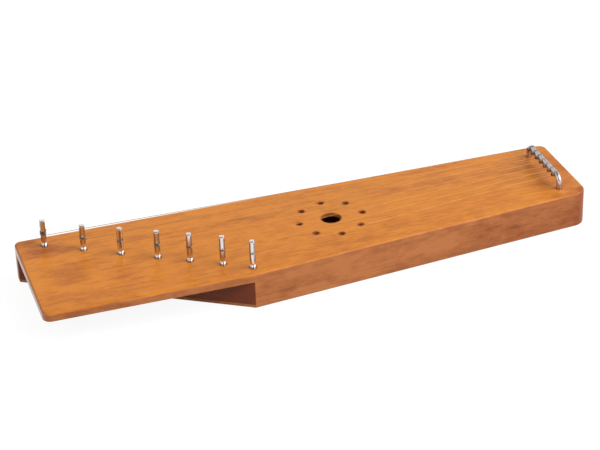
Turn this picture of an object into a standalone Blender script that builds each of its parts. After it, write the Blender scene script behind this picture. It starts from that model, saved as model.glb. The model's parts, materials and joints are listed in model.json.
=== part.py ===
"""A wing-shaped gusli: a glued wooden sound box, seven strings, seven tuning pins and a tailpiece bar.

The long side of the box lies along X, with the tail end at +X. Y runs from the player to the straight
rear edge, and Z is up. The origin is on the underside, in the middle of the length and of the width.
"""

import math

import bmesh
import bpy
import numpy as np
from mathutils import Matrix, Vector

# Outline seen from above
LENGTH = 0.515
TUNER_WIDTH = 0.132
TAIL_WIDTH = 0.100
KNEE_FROM_LEFT = 0.185
WALL_FROM_REAR = 0.014
CORNER_RADIUS = 0.010
CORNER_STEPS = 6

# Boards of the sound box, from the bottom up
DEPTH = 0.034
BACK_THICKNESS = 0.003
PLATE_THICKNESS = 0.008
SOUNDBOARD_THICKNESS = 0.0035
SIDE_THICKNESS = 0.011
PIN_BLOCK_THICKNESS = 0.024
TAIL_BLOCK_LENGTH = 0.040
RECESS_LEDGE = 0.002
GLUE_LINE = 0.0003
TOP_ARRIS = 0.002
TOP_ARRIS_STEPS = 3
BOTTOM_ARRIS = 0.001
BOTTOM_ARRIS_STEPS = 2

# Braces under the soundboard, as distances from the sound hole
BRACE_WIDTH = 0.007
BRACE_HEIGHT = 0.008
BRACE_ARRIS = 0.002
BRACE_ARRIS_STEPS = 2
BRACE_LEFT_OF_HOLE = 0.058
BRACE_RIGHT_OF_HOLE = 0.075

# Sound hole and its ring of small holes
SOUND_HOLE_FROM_LEFT = 0.279
SOUND_HOLE_FROM_REAR = 0.062
SOUND_HOLE_DIAMETER = 0.018
SOUND_HOLE_SIDES = 40
RING_DIAMETER = 0.060
RING_HOLE_DIAMETER = 0.005
RING_HOLE_SIDES = 14
RING_HOLE_COUNT = 8

# Tuning pins, measured from the top of the plate
PIN_DIAMETER = 0.005
PIN_ABOVE = 0.028
PIN_IN_WOOD = 0.016
PIN_TOP_ACROSS_FLATS = 0.0038
PIN_FLATS_START = 0.005
PIN_CHAMFER = 0.0003
PIN_TIP_TAPER = 0.0008
PIN_HOLE_HEIGHT = 0.016
PIN_HOLE_DIAMETER = 0.0015
PIN_HOLE_SIDES = 12
PIN_SIDES = 24
PIN_SHARP_DEG = 20
PIN_CLEARANCE = 0.0003
PIN_SETBACK = 0.0115
PIN_FROM_KNEE = 0.0045
PIN_FROM_WALL_END = 0.0224
PIN_SPACINGS = (37, 35, 34, 29.5, 30, 27)
PIN_TURNS_DEG = (-62, -75, -50, -66, -100, -108, -108)

# Tailpiece bar
BAR_DIAMETER = 0.005
BAR_FROM_TAIL = 0.023
BAR_FROM_REAR = 0.018
BAR_FROM_FRONT = 0.014
BAR_HEIGHT = 0.012
BAR_BEND = 0.007
BAR_IN_WOOD = 0.020
BAR_CLEARANCE = 0.0003
BAR_BEND_STEPS = 6
BAR_ROUNDNESS = 3
BAR_HOLE_SIDES = 20

# Strings, from the longest at the rear to the shortest at the front
LONGEST_STRING_DIAMETER = 0.00050
SHORTEST_STRING_DIAMETER = 0.00032
STRING_ROUNDNESS = 1
STRING_CLEARANCE = 0.0003
WINDING_TURNS = (3.25, 3.25, 3.0, 3.0, 1.5, 1.25, 1.25)
TURN_GAP = 0.0005
LAST_TURN_DEG = 150
NOOSE_BEND = 0.00055
NOOSE_END_DEG = 315
NOOSE_LEAD = 0.0014
FIRST_BEND_DEG = 50
FIRST_BEND_POINTS = 8
POINTS_PER_TURN = 16
NOOSE_POINTS_PER_TURN = 20
NOOSE_BEND_POINTS = 3

# The gap of a wire to itself is measured on points between its own, past a stretch of some diameters
GAP_POINTS_PER_STEP = 6
GAP_STRETCH = 4

# Ferrule that holds each noose
BALL_DIAMETER = 0.0038
BALL_GROOVE_DIAMETER = 0.0030
BALL_LENGTH = 0.0026
BALL_BORE = 0.0015
BALL_LIP = 0.0006
BALL_SIDES = 14
BALL_SHARP_DEG = 35

# Tolerances of the mesh work
SAME_POINT = 0.000001
SAME_HEIGHT = 0.00001
FLAT_ANGLE = 0.001

# Places worked out from the sizes
LEFT = -LENGTH / 2
RIGHT = LENGTH / 2
REAR = TUNER_WIDTH / 2
FRONT = -TUNER_WIDTH / 2
KNEE = (LEFT + KNEE_FROM_LEFT, FRONT)
TAIL_FRONT = (RIGHT, REAR - TAIL_WIDTH)
WALL_LEFT = (LEFT, REAR - WALL_FROM_REAR)
TOP = DEPTH
RIM_LOW = BACK_THICKNESS + GLUE_LINE
RIM_HIGH = DEPTH - PLATE_THICKNESS - GLUE_LINE
SOUND_HOLE = (LEFT + SOUND_HOLE_FROM_LEFT, REAR - SOUND_HOLE_FROM_REAR)
STRING_COUNT = len(PIN_TURNS_DEG)

WOOD_TOP = ("wood_top", (0.686, 0.250, 0.053), 0.42, 0.0)
WOOD_SIDE = ("wood_side", (0.445, 0.162, 0.065), 0.45, 0.0)
WOOD_INNER = ("wood_inner", (0.60, 0.42, 0.24), 0.65, 0.0)
PIN_STEEL = ("pin_steel", (0.72, 0.71, 0.70), 0.22, 1.0)
BAR_STEEL = ("bar_steel", (0.60, 0.59, 0.58), 0.30, 1.0)
STRING_STEEL = ("string_steel", (0.55, 0.54, 0.53), 0.35, 1.0)
FERRULE_BRASS = ("ferrule_brass", (0.45, 0.34, 0.20), 0.40, 1.0)


def clear_scene():
    """Remove every object, so that only the instrument is left."""
    for obj in list(bpy.data.objects):
        bpy.data.objects.remove(obj, do_unlink=True)


def new_collection(name):
    """Make a collection in the scene and return it."""
    collection = bpy.data.collections.new(name)
    bpy.context.scene.collection.children.link(collection)
    return collection


def material(spec):
    """Return the Principled material of a finish, made on first use."""
    name, colour, roughness, metallic = spec
    found = bpy.data.materials.get(name)
    if found:
        return found
    made = bpy.data.materials.new(name)
    made.use_nodes = True
    shader = made.node_tree.nodes["Principled BSDF"]
    shader.inputs["Base Color"].default_value = (*colour, 1.0)
    shader.inputs["Roughness"].default_value = roughness
    shader.inputs["Metallic"].default_value = metallic
    made.diffuse_color = (*colour, 1.0)
    return made


def line(start, end):
    """A line in plan, kept as a point on it and its unit direction."""
    a = Vector(start)
    return a, (Vector(end) - a).normalized()


def inward(edge, distance):
    """The same line moved to its left, which is into the outline."""
    point, direction = edge
    return point + Vector((-direction.y, direction.x)) * distance, direction


def meet(first, second):
    """The point where two lines in plan cross."""
    p, u = first
    q, v = second
    across = u.x * v.y - u.y * v.x
    along = ((q - p).x * v.y - (q - p).y * v.x) / across
    return p + u * along


def corners_of(edges):
    """The corners of an outline whose edges are given in order, each with the edge before it."""
    return [meet(edges[i - 1], edges[i]) for i in range(len(edges))]


def rounded(corners, radii):
    """The outline with each corner of a radius over zero replaced by an arc."""
    points = []
    count = len(corners)
    for i, (corner, radius) in enumerate(zip(corners, radii)):
        if radius <= 0:
            points.append(tuple(corner))
            continue
        before = (corners[i - 1] - corner).normalized()
        after = (corners[(i + 1) % count] - corner).normalized()
        half = before.angle(after) / 2
        centre = corner + (before + after).normalized() * (radius / math.sin(half))
        start = corner + before * (radius / math.tan(half)) - centre
        sweep = math.pi - 2 * half
        for step in range(CORNER_STEPS + 1):
            turn = Matrix.Rotation(sweep * step / CORNER_STEPS, 2)
            points.append(tuple(centre + turn @ start))
    return points


FRONT_EDGE = line(KNEE, TAIL_FRONT)
TAIL_EDGE = line(TAIL_FRONT, (RIGHT, REAR))
REAR_EDGE = line((RIGHT, REAR), (LEFT, REAR))
LEFT_EDGE = line((LEFT, REAR), (LEFT, FRONT))
WING_EDGE = line((LEFT, FRONT), KNEE)
WALL_EDGE = line(WALL_LEFT, KNEE)


def baked(obj):
    """The mesh of an object with its modifiers applied; the object goes."""
    graph = bpy.context.evaluated_depsgraph_get()
    mesh = bpy.data.meshes.new_from_object(obj.evaluated_get(graph))
    mesh.name = obj.name
    bpy.data.objects.remove(obj, do_unlink=True)
    return mesh


def weld(mesh):
    """Join the loose caps of a converted curve to its walls and merge its flat triangles."""
    work = bmesh.new()
    work.from_mesh(mesh)
    bmesh.ops.remove_doubles(work, verts=work.verts, dist=SAME_POINT)
    bmesh.ops.dissolve_limit(work, angle_limit=FLAT_ANGLE, verts=work.verts, edges=work.edges)
    work.to_mesh(mesh)
    work.free()


def place(name, mesh, collection, finish=None):
    """Put a mesh into a collection as an object, with its finish."""
    obj = bpy.data.objects.new(name, mesh)
    collection.objects.link(obj)
    if finish:
        mesh.materials.clear()
        mesh.materials.append(material(finish))
    return obj


def slab(name, outline, low, high, collection, finish=None):
    """A board: a flat outline filled and given its thickness."""
    curve = bpy.data.curves.new(name, "CURVE")
    curve.dimensions = "2D"
    curve.fill_mode = "BOTH"
    curve.extrude = (high - low) / 2
    spline = curve.splines.new("POLY")
    spline.points.add(len(outline) - 1)
    for point, (x, y) in zip(spline.points, outline):
        point.co = (x, y, 0, 1)
    spline.use_cyclic_u = True
    holder = bpy.data.objects.new(name + "_outline", curve)
    collection.objects.link(holder)
    mesh = baked(holder)
    weld(mesh)
    mesh.transform(Matrix.Translation((0, 0, (low + high) / 2)))
    return place(name, mesh, collection, finish)


def ease(obj, height, width, segments):
    """Round the outline edges of a board that lie at one height."""
    mesh = obj.data
    weights = mesh.attributes.new("bevel_weight_edge", "FLOAT", "EDGE")
    for edge in mesh.edges:
        ends = [mesh.vertices[v].co.z for v in edge.vertices]
        if max(abs(z - height) for z in ends) < SAME_HEIGHT:
            weights.data[edge.index].value = 1.0
    bevel = obj.modifiers.new("arris", "BEVEL")
    bevel.limit_method = "WEIGHT"
    bevel.width = width
    bevel.segments = segments


def drills(name, centres, diameter, low, high, sides, collection):
    """One cutter made of an upright cylinder at each centre."""
    work = bmesh.new()
    for x, y in centres:
        middle = Matrix.Translation((x, y, (low + high) / 2))
        bmesh.ops.create_cone(
            work, cap_ends=True, segments=sides, radius1=diameter / 2, radius2=diameter / 2,
            depth=high - low, matrix=middle)
    mesh = bpy.data.meshes.new(name)
    work.to_mesh(mesh)
    work.free()
    return as_cutter(place(name, mesh, collection))


def as_cutter(obj):
    """Hide a cutter from renders and draw it as wire."""
    obj.hide_render = True
    obj.display_type = "WIRE"
    return obj


def cut(obj, cutter, operation="DIFFERENCE"):
    """Add a Boolean of one cutter to a piece."""
    boolean = obj.modifiers.new(cutter.name, "BOOLEAN")
    boolean.operation = operation
    boolean.object = cutter
    boolean.solver = "EXACT"


def shade(mesh, angle_deg):
    """Shade a round piece smooth, with its real edges kept sharp."""
    mesh.shade_smooth()
    mesh.set_sharp_from_angle(angle=math.radians(angle_deg))


def turned(name, profile, sides, collection):
    """A turned piece: a profile in X and Z, revolved about Z. It runs down its outer side."""
    work = bmesh.new()
    verts = [work.verts.new((x, 0, z)) for x, z in profile]
    pairs = list(zip(verts, verts[1:]))
    if profile[0][0] > 0:
        pairs.append((verts[-1], verts[0]))
    for a, b in pairs:
        work.edges.new((a, b))
    mesh = bpy.data.meshes.new(name)
    work.to_mesh(mesh)
    work.free()
    obj = place(name, mesh, collection)
    screw = obj.modifiers.new("turn", "SCREW")
    screw.steps = sides
    screw.render_steps = sides
    screw.use_merge_vertices = True
    screw.merge_threshold = SAME_POINT
    screw.use_smooth_shade = False
    return obj


def wire(name, points, diameter, resolution, collection, finish):
    """A round wire or rod along a list of points, with closed ends."""
    curve = bpy.data.curves.new(name, "CURVE")
    curve.dimensions = "3D"
    curve.bevel_depth = diameter / 2
    curve.bevel_resolution = resolution
    curve.use_fill_caps = True
    spline = curve.splines.new("POLY")
    spline.points.add(len(points) - 1)
    for point, place_of in zip(spline.points, points):
        point.co = (*place_of, 1)
    curve.materials.append(material(finish))
    collection.objects.link(bpy.data.objects.new(name, curve))


def pin_places():
    """The foot of each pin on the top plate, from the rear to the front, along the oblique wall.

    The row starts and ends at set distances from the ends of the wall, and the spacings share it out.
    """
    point, direction = inward(WALL_EDGE, PIN_SETBACK)
    wall_length = (Vector(KNEE) - Vector(WALL_LEFT)).length
    row = wall_length - PIN_FROM_WALL_END - PIN_FROM_KNEE
    distance = PIN_FROM_WALL_END
    places = [point + direction * distance]
    for spacing in PIN_SPACINGS:
        distance += row * spacing / sum(PIN_SPACINGS)
        places.append(point + direction * distance)
    return places


def bar_line():
    """The X of the bar and the Y of its rear and front legs."""
    return RIGHT - BAR_FROM_TAIL, REAR - BAR_FROM_REAR, REAR - TAIL_WIDTH + BAR_FROM_FRONT


def bar_places():
    """Where each string is looped round the bar, shared out along its straight run from the rear."""
    x, rear, front = bar_line()
    run = rear - front - 2 * BAR_BEND
    pitch = run / (STRING_COUNT - 1)
    return [Vector((x, rear - BAR_BEND - pitch * i)) for i in range(STRING_COUNT)]


def string_diameter(i):
    """The diameter of a string, thinner from the rear to the front."""
    share = i / (STRING_COUNT - 1)
    return LONGEST_STRING_DIAMETER + (SHORTEST_STRING_DIAMETER - LONGEST_STRING_DIAMETER) * share


def winding_radius(i):
    """The radius of the middle of the wire round its pin."""
    return PIN_DIAMETER / 2 + STRING_CLEARANCE + string_diameter(i) / 2


def turn_pitch(i):
    """The rise of one turn of the wire on its pin."""
    return string_diameter(i) + TURN_GAP


def exit_height(i):
    """The height above the plate at which a string leaves its pin."""
    return PIN_HOLE_HEIGHT - (WINDING_TURNS[i] + 1) * turn_pitch(i)


def make_top_plate(parts, cutters):
    """The board that is soundboard and wing in one, thinned from below over the sound box."""
    corners = corners_of([WING_EDGE, FRONT_EDGE, TAIL_EDGE, REAR_EDGE, LEFT_EDGE])
    r = CORNER_RADIUS
    outline = rounded(corners, [r, 0, r, r, r])
    low = DEPTH - PLATE_THICKNESS
    plate = slab("top_plate", outline, low, TOP, parts, WOOD_TOP)
    ease(plate, TOP, TOP_ARRIS, TOP_ARRIS_STEPS)
    inset = SIDE_THICKNESS + RECESS_LEDGE
    recess = corners_of([
        inward(FRONT_EDGE, inset),
        inward(TAIL_EDGE, TAIL_BLOCK_LENGTH + RECESS_LEDGE),
        inward(REAR_EDGE, inset),
        inward(WALL_EDGE, PIN_BLOCK_THICKNESS + RECESS_LEDGE),
    ])
    below = low - PLATE_THICKNESS
    pocket = slab("recess_cutter", [tuple(c) for c in recess], below, TOP - SOUNDBOARD_THICKNESS, cutters)
    cut(plate, as_cutter(pocket))
    above = TOP + PLATE_THICKNESS
    middle = [SOUND_HOLE]
    cut(plate, drills("sound_hole_cutter", middle, SOUND_HOLE_DIAMETER, below, above, SOUND_HOLE_SIDES, cutters))
    ring = []
    for i in range(RING_HOLE_COUNT):
        angle = math.pi / 2 + 2 * math.pi * i / RING_HOLE_COUNT
        reach = RING_DIAMETER / 2
        ring.append((SOUND_HOLE[0] + reach * math.cos(angle), SOUND_HOLE[1] + reach * math.sin(angle)))
    cut(plate, drills("ring_cutter", ring, RING_HOLE_DIAMETER, below, above, RING_HOLE_SIDES, cutters))
    return plate


def make_back_plate(parts):
    """The thin bottom board, with the outline of the sound box."""
    corners = corners_of([FRONT_EDGE, TAIL_EDGE, REAR_EDGE, LEFT_EDGE, WALL_EDGE])
    r = CORNER_RADIUS
    plate = slab("back_plate", rounded(corners, [0, r, r, r, 0]), 0, BACK_THICKNESS, parts, WOOD_SIDE)
    ease(plate, 0, BOTTOM_ARRIS, BOTTOM_ARRIS_STEPS)


def mitre():
    """The joint in plan between the front side and the pin block, from the knee to their inner corner."""
    inner = meet(inward(FRONT_EDGE, SIDE_THICKNESS), inward(WALL_EDGE, PIN_BLOCK_THICKNESS))
    return line(inner, KNEE)


def make_front_side(parts):
    """The front wall, mitred to the pin block at the knee and rounded at the tail."""
    edges = [
        FRONT_EDGE,
        TAIL_EDGE,
        (inward(FRONT_EDGE, SIDE_THICKNESS)[0], -FRONT_EDGE[1]),
        inward(mitre(), GLUE_LINE / 2),
    ]
    outline = rounded(corners_of(edges), [0, CORNER_RADIUS, 0, 0])
    slab("front_side", outline, RIM_LOW, RIM_HIGH, parts, WOOD_SIDE)


def make_rear_side(parts):
    """The rear wall, rounded at both ends."""
    edges = [
        REAR_EDGE,
        LEFT_EDGE,
        (inward(REAR_EDGE, SIDE_THICKNESS)[0], -REAR_EDGE[1]),
        TAIL_EDGE,
    ]
    r = CORNER_RADIUS
    outline = rounded(corners_of(edges), [r, r, 0, 0])
    slab("rear_side", outline, RIM_LOW, RIM_HIGH, parts, WOOD_SIDE)


def make_pin_block(parts):
    """The oblique end wall that holds the pins, from the knee to the rear side."""
    joint = mitre()
    edges = [
        WALL_EDGE,
        inward((joint[0], -joint[1]), GLUE_LINE / 2),
        (inward(WALL_EDGE, PIN_BLOCK_THICKNESS)[0], -WALL_EDGE[1]),
        inward(REAR_EDGE, SIDE_THICKNESS + GLUE_LINE),
        LEFT_EDGE,
    ]
    outline = [tuple(c) for c in corners_of(edges)]
    return slab("pin_block", outline, RIM_LOW, RIM_HIGH, parts, WOOD_SIDE)


def make_tail_block(parts):
    """The block between the two sides at the tail, which holds the legs of the bar."""
    edges = [
        inward(FRONT_EDGE, SIDE_THICKNESS + GLUE_LINE),
        TAIL_EDGE,
        inward(REAR_EDGE, SIDE_THICKNESS + GLUE_LINE),
        (inward(TAIL_EDGE, TAIL_BLOCK_LENGTH)[0], -TAIL_EDGE[1]),
    ]
    outline = [tuple(c) for c in corners_of(edges)]
    return slab("tail_block", outline, RIM_LOW, RIM_HIGH, parts, WOOD_SIDE)


def make_brace(name, x, parts):
    """A cross brace under the soundboard, inside its recess, with its lower edges eased."""
    inset = SIDE_THICKNESS + RECESS_LEDGE + GLUE_LINE
    right = ((x + BRACE_WIDTH / 2, 0), (x + BRACE_WIDTH / 2, 1))
    left = ((x - BRACE_WIDTH / 2, 0), (x - BRACE_WIDTH / 2, -1))
    edges = [inward(FRONT_EDGE, inset), line(*right), inward(REAR_EDGE, inset), line(*left)]
    high = TOP - SOUNDBOARD_THICKNESS - GLUE_LINE
    outline = [tuple(c) for c in corners_of(edges)]
    brace = slab(name, outline, high - BRACE_HEIGHT, high, parts, WOOD_INNER)
    ease(brace, high - BRACE_HEIGHT, BRACE_ARRIS, BRACE_ARRIS_STEPS)


def drill_for_pins(pieces, cutters):
    """The holes of the tuning pins, through the plate and down into the block."""
    places = [tuple(p) for p in pin_places()]
    bore = PIN_DIAMETER + 2 * PIN_CLEARANCE
    low = TOP - PIN_IN_WOOD - PIN_CLEARANCE
    cutter = drills("pin_hole_cutter", places, bore, low, TOP + PIN_ABOVE, PIN_SIDES, cutters)
    for piece in pieces:
        cut(piece, cutter)


def drill_for_bar(pieces, cutters):
    """The holes of the bar's legs, through the plate and down into the block."""
    x, rear, front = bar_line()
    bore = BAR_DIAMETER + 2 * BAR_CLEARANCE
    low = TOP - BAR_IN_WOOD - BAR_CLEARANCE
    legs = [(x, rear), (x, front)]
    cutter = drills("bar_hole_cutter", legs, bore, low, TOP + BAR_HEIGHT, BAR_HOLE_SIDES, cutters)
    for piece in pieces:
        cut(piece, cutter)


def pin_mesh(cutters):
    """One tuning pin about its own axis, standing on the top of the plate at Z 0.

    The round pin is crossed with a slim square pyramid, whose sides leave the pin at the height where the
    flats begin. That gives four flats that narrow to a point at their lower ends.
    """
    r = PIN_DIAMETER / 2
    profile = [
        (0, PIN_ABOVE),
        (r - PIN_CHAMFER, PIN_ABOVE),
        (r, PIN_ABOVE - PIN_CHAMFER),
        (r, -PIN_IN_WOOD + PIN_TIP_TAPER),
        (r - PIN_TIP_TAPER, -PIN_IN_WOOD),
        (0, -PIN_IN_WOOD),
    ]
    pin = turned("pin_blank", profile, PIN_SIDES, cutters)
    slope = (r - PIN_TOP_ACROSS_FLATS / 2) / (PIN_ABOVE - PIN_FLATS_START)
    low = -PIN_IN_WOOD - PIN_DIAMETER
    high = PIN_ABOVE + PIN_DIAMETER
    half_low = r + slope * (PIN_FLATS_START - low)
    half_high = r + slope * (PIN_FLATS_START - high)
    work = bmesh.new()
    bmesh.ops.create_cone(
        work, cap_ends=True, segments=4, radius1=half_low * math.sqrt(2), radius2=half_high * math.sqrt(2),
        depth=high - low, matrix=Matrix.Translation((0, 0, (low + high) / 2)))
    bmesh.ops.rotate(work, verts=work.verts, matrix=Matrix.Rotation(math.pi / 4, 3, "Z"))
    pyramid_mesh = bpy.data.meshes.new("flats_cutter")
    work.to_mesh(pyramid_mesh)
    work.free()
    pyramid = as_cutter(place("flats_cutter", pyramid_mesh, cutters))
    cut(pin, pyramid, "INTERSECT")
    work = bmesh.new()
    across = Matrix.Translation((0, 0, PIN_HOLE_HEIGHT)) @ Matrix.Rotation(math.pi / 2, 4, "Y")
    hole_radius = PIN_HOLE_DIAMETER / 2
    bmesh.ops.create_cone(
        work, cap_ends=True, segments=PIN_HOLE_SIDES, radius1=hole_radius, radius2=hole_radius,
        depth=2 * PIN_DIAMETER, matrix=across)
    hole_mesh = bpy.data.meshes.new("cross_hole_cutter")
    work.to_mesh(hole_mesh)
    work.free()
    hole = as_cutter(place("cross_hole_cutter", hole_mesh, cutters))
    cut(pin, hole)
    mesh = baked(pin)
    shade(mesh, PIN_SHARP_DEG)
    return mesh


def make_pins(parts, cutters):
    """The seven pins, one mesh, each turned to its own angle."""
    mesh = pin_mesh(cutters)
    for i, (x, y) in enumerate(pin_places()):
        pin = place(f"tuning_pin_{i + 1}", mesh, parts, PIN_STEEL)
        pin.location = (x, y, TOP)
        pin.rotation_euler.z = math.radians(PIN_TURNS_DEG[i])


def make_bar(parts):
    """The bent rod that the strings pull on, with its two legs in the tail block."""
    x, rear, front = bar_line()
    foot = TOP - BAR_IN_WOOD
    height = TOP + BAR_HEIGHT
    points = [(x, rear, foot)]
    for side, y in ((1, rear), (-1, front)):
        centre_y = y - side * BAR_BEND
        arc = []
        for step in range(BAR_BEND_STEPS + 1):
            angle = math.pi / 2 * step / BAR_BEND_STEPS
            arc.append((
                x,
                centre_y + side * BAR_BEND * math.cos(angle),
                height - BAR_BEND + BAR_BEND * math.sin(angle)))
        points += arc if side > 0 else arc[::-1]
    points.append((x, front, foot))
    wire("tailpiece_bar", points, BAR_DIAMETER, BAR_ROUNDNESS, parts, BAR_STEEL)


def noose_radius(i):
    """The radius of the middle of the wire round the bar."""
    return BAR_DIAMETER / 2 + STRING_CLEARANCE + string_diameter(i) / 2


def ball_centre_distance(i):
    """How far the middle of a ferrule lies from the middle of the bar."""
    return noose_radius(i) + NOOSE_BEND + BALL_LENGTH / 2


def span(i):
    """The straight run of a string in plan: its start at the bar, its direction and where it meets the pin."""
    start = bar_places()[i]
    to_pin = pin_places()[i] - start
    reach = to_pin.length
    radius = winding_radius(i)
    direction = Matrix.Rotation(math.asin(radius / reach), 2) @ to_pin.normalized()
    return start, direction, start + direction * math.sqrt(reach ** 2 - radius ** 2)


def noose_points(i):
    """The loop round the bar, from its end below the ferrule, over the bar and into the ferrule's bore.

    The points lie in the upright plane of the string: distance towards the pin, and height above the bar.
    """
    loop = noose_radius(i)
    lift = math.asin(NOOSE_BEND / (loop + NOOSE_BEND))
    start = math.radians(NOOSE_END_DEG)
    count = round(NOOSE_POINTS_PER_TURN * (start - lift) / (2 * math.pi))
    points = [(
        loop * math.cos(start) - NOOSE_LEAD * math.sin(start),
        loop * math.sin(start) + NOOSE_LEAD * math.cos(start))]
    for step in range(count + 1):
        angle = start + (lift - start) * step / count
        points.append((loop * math.cos(angle), loop * math.sin(angle)))
    centre = (loop + NOOSE_BEND) * math.cos(lift)
    for step in range(1, NOOSE_BEND_POINTS + 1):
        angle = math.pi + lift + (math.pi / 2 - lift) * step / NOOSE_BEND_POINTS
        points.append((centre + NOOSE_BEND * math.cos(angle), NOOSE_BEND + NOOSE_BEND * math.sin(angle)))
    return points


def string_points(i):
    """One string: its noose, its span and the last part turn below the winding."""
    start, direction, touch = span(i)
    bar_z = TOP + BAR_HEIGHT
    points = []
    for along, up in noose_points(i):
        spot = start + direction * along
        points.append((spot.x, spot.y, bar_z + up))
    centre = pin_places()[i]
    radius = winding_radius(i)
    height = TOP + exit_height(i)
    first = math.atan2(touch.y - centre.y, touch.x - centre.x)
    count = round(POINTS_PER_TURN * LAST_TURN_DEG / 360)
    for step in range(count + 1):
        angle = first - math.radians(LAST_TURN_DEG) * step / count
        points.append((centre.x + radius * math.cos(angle), centre.y + radius * math.sin(angle), height))
    return points


def winding_points(i):
    """The turns of one string on its pin, from the middle of the cross hole outwards and down.

    The wire leaves the hole straight out and bends round into its first turn over a share of that turn.
    """
    radius = winding_radius(i)
    pitch = turn_pitch(i)
    hole = math.radians(PIN_TURNS_DEG[i]) + math.pi
    bend = math.radians(FIRST_BEND_DEG)
    centre = pin_places()[i]
    spots = []
    for step in range(1, FIRST_BEND_POINTS + 1):
        share = step / FIRST_BEND_POINTS
        spots.append((radius * math.sqrt(1 - (1 - share ** 2) ** 2), bend * share ** 4))
    whole = 2 * math.pi * WINDING_TURNS[i]
    count = round(POINTS_PER_TURN * (whole - bend) / (2 * math.pi))
    for step in range(1, count + 1):
        spots.append((radius, bend + (whole - bend) * step / count))
    points = []
    for reach, turn in spots:
        fall = pitch * turn / (2 * math.pi)
        angle = hole + turn
        points.append((
            centre.x + reach * math.cos(angle),
            centre.y + reach * math.sin(angle),
            TOP + PIN_HOLE_HEIGHT - fall))
    return points


def least_self_gap(points, diameter):
    """The least gap of a wire to itself, between points more than a stretch of it apart along it."""
    route = np.array(points)
    runs = [np.linspace(a, b, GAP_POINTS_PER_STEP, endpoint=False) for a, b in zip(route, route[1:])]
    fine = np.concatenate(runs + [route[-1:]])
    along = np.concatenate([[0], np.cumsum(np.linalg.norm(np.diff(fine, axis=0), axis=1))])
    apart = np.linalg.norm(fine[:, None] - fine[None], axis=2)
    far = np.abs(along[:, None] - along[None]) > GAP_STRETCH * diameter
    return float(apart[far].min() - diameter)


def make_strings(parts):
    """Each string and its winding, as two wires, with their least gap to themselves printed."""
    for i in range(STRING_COUNT):
        diameter = string_diameter(i)
        for name, points in (("string", string_points(i)), ("string_winding", winding_points(i))):
            gap = least_self_gap(points, diameter)
            print(f"{name}_{i + 1}: least gap to itself {gap * 1000:.2f} mm")
            wire(f"{name}_{i + 1}", points, diameter, STRING_ROUNDNESS, parts, STRING_STEEL)


def make_balls(parts, cutters):
    """The ferrules: small grooved spools, each with its bore along its string."""
    bore = BALL_BORE / 2
    rim = BALL_DIAMETER / 2
    groove = BALL_GROOVE_DIAMETER / 2
    half = BALL_LENGTH / 2
    inner = half - BALL_LIP
    profile = [(bore, half), (rim, half), (rim, inner), (groove, inner / 2), (groove, -inner / 2)]
    profile += [(rim, -inner), (rim, -half), (bore, -half)]
    mesh = baked(turned("ball_blank", profile, BALL_SIDES, cutters))
    mesh.transform(Matrix.Rotation(math.pi / 2, 4, "Y"))
    shade(mesh, BALL_SHARP_DEG)
    for i in range(STRING_COUNT):
        start, direction, _touch = span(i)
        spot = start + direction * ball_centre_distance(i)
        ball = place(f"ball_end_{i + 1}", mesh, parts, FERRULE_BRASS)
        ball.location = (spot.x, spot.y, TOP + BAR_HEIGHT)
        ball.rotation_euler.z = math.atan2(direction.y, direction.x)


def main():
    """Build the instrument."""
    clear_scene()
    parts = new_collection("gusli")
    cutters = new_collection("cutters")
    top_plate = make_top_plate(parts, cutters)
    make_back_plate(parts)
    make_front_side(parts)
    make_rear_side(parts)
    pin_block = make_pin_block(parts)
    tail_block = make_tail_block(parts)
    make_brace("brace_1", SOUND_HOLE[0] - BRACE_LEFT_OF_HOLE, parts)
    make_brace("brace_2", SOUND_HOLE[0] + BRACE_RIGHT_OF_HOLE, parts)
    drill_for_pins([top_plate, pin_block], cutters)
    drill_for_bar([top_plate, tail_block], cutters)
    make_pins(parts, cutters)
    make_bar(parts)
    make_strings(parts)
    make_balls(parts, cutters)


main()
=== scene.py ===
"""Looks of a small wing-shaped gusli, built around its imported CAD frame.

The frame gives the places and the main sizes; this file gives each piece its full shape and its finish.
+X runs from the open wing to the tailpiece bar, +Y to the straight rear edge, +Z up. Lengths are in metres.
"""

import json
import math

import bmesh
import bpy
import numpy as np
from bpy.props import FloatProperty, FloatVectorProperty, IntProperty, PointerProperty
from mathutils import Matrix, Vector
from mathutils.geometry import delaunay_2d_cdt


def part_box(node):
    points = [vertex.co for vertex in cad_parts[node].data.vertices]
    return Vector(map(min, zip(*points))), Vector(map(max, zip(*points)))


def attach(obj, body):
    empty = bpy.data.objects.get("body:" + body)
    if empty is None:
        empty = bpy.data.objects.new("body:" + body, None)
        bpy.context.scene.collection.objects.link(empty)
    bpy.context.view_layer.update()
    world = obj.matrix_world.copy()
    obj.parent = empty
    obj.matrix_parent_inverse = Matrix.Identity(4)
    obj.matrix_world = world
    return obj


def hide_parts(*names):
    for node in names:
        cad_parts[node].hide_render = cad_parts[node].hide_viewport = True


bl_info = {
    "name": "Gusli",
    "version": (1, 0, 0),
    "blender": (4, 5, 0),
    "location": "3D View > Sidebar > Gusli",
    "description": "Builds the wooden box, strings, tuning pins and stage of a seven-string gusli",
    "category": "Object",
}

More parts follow.
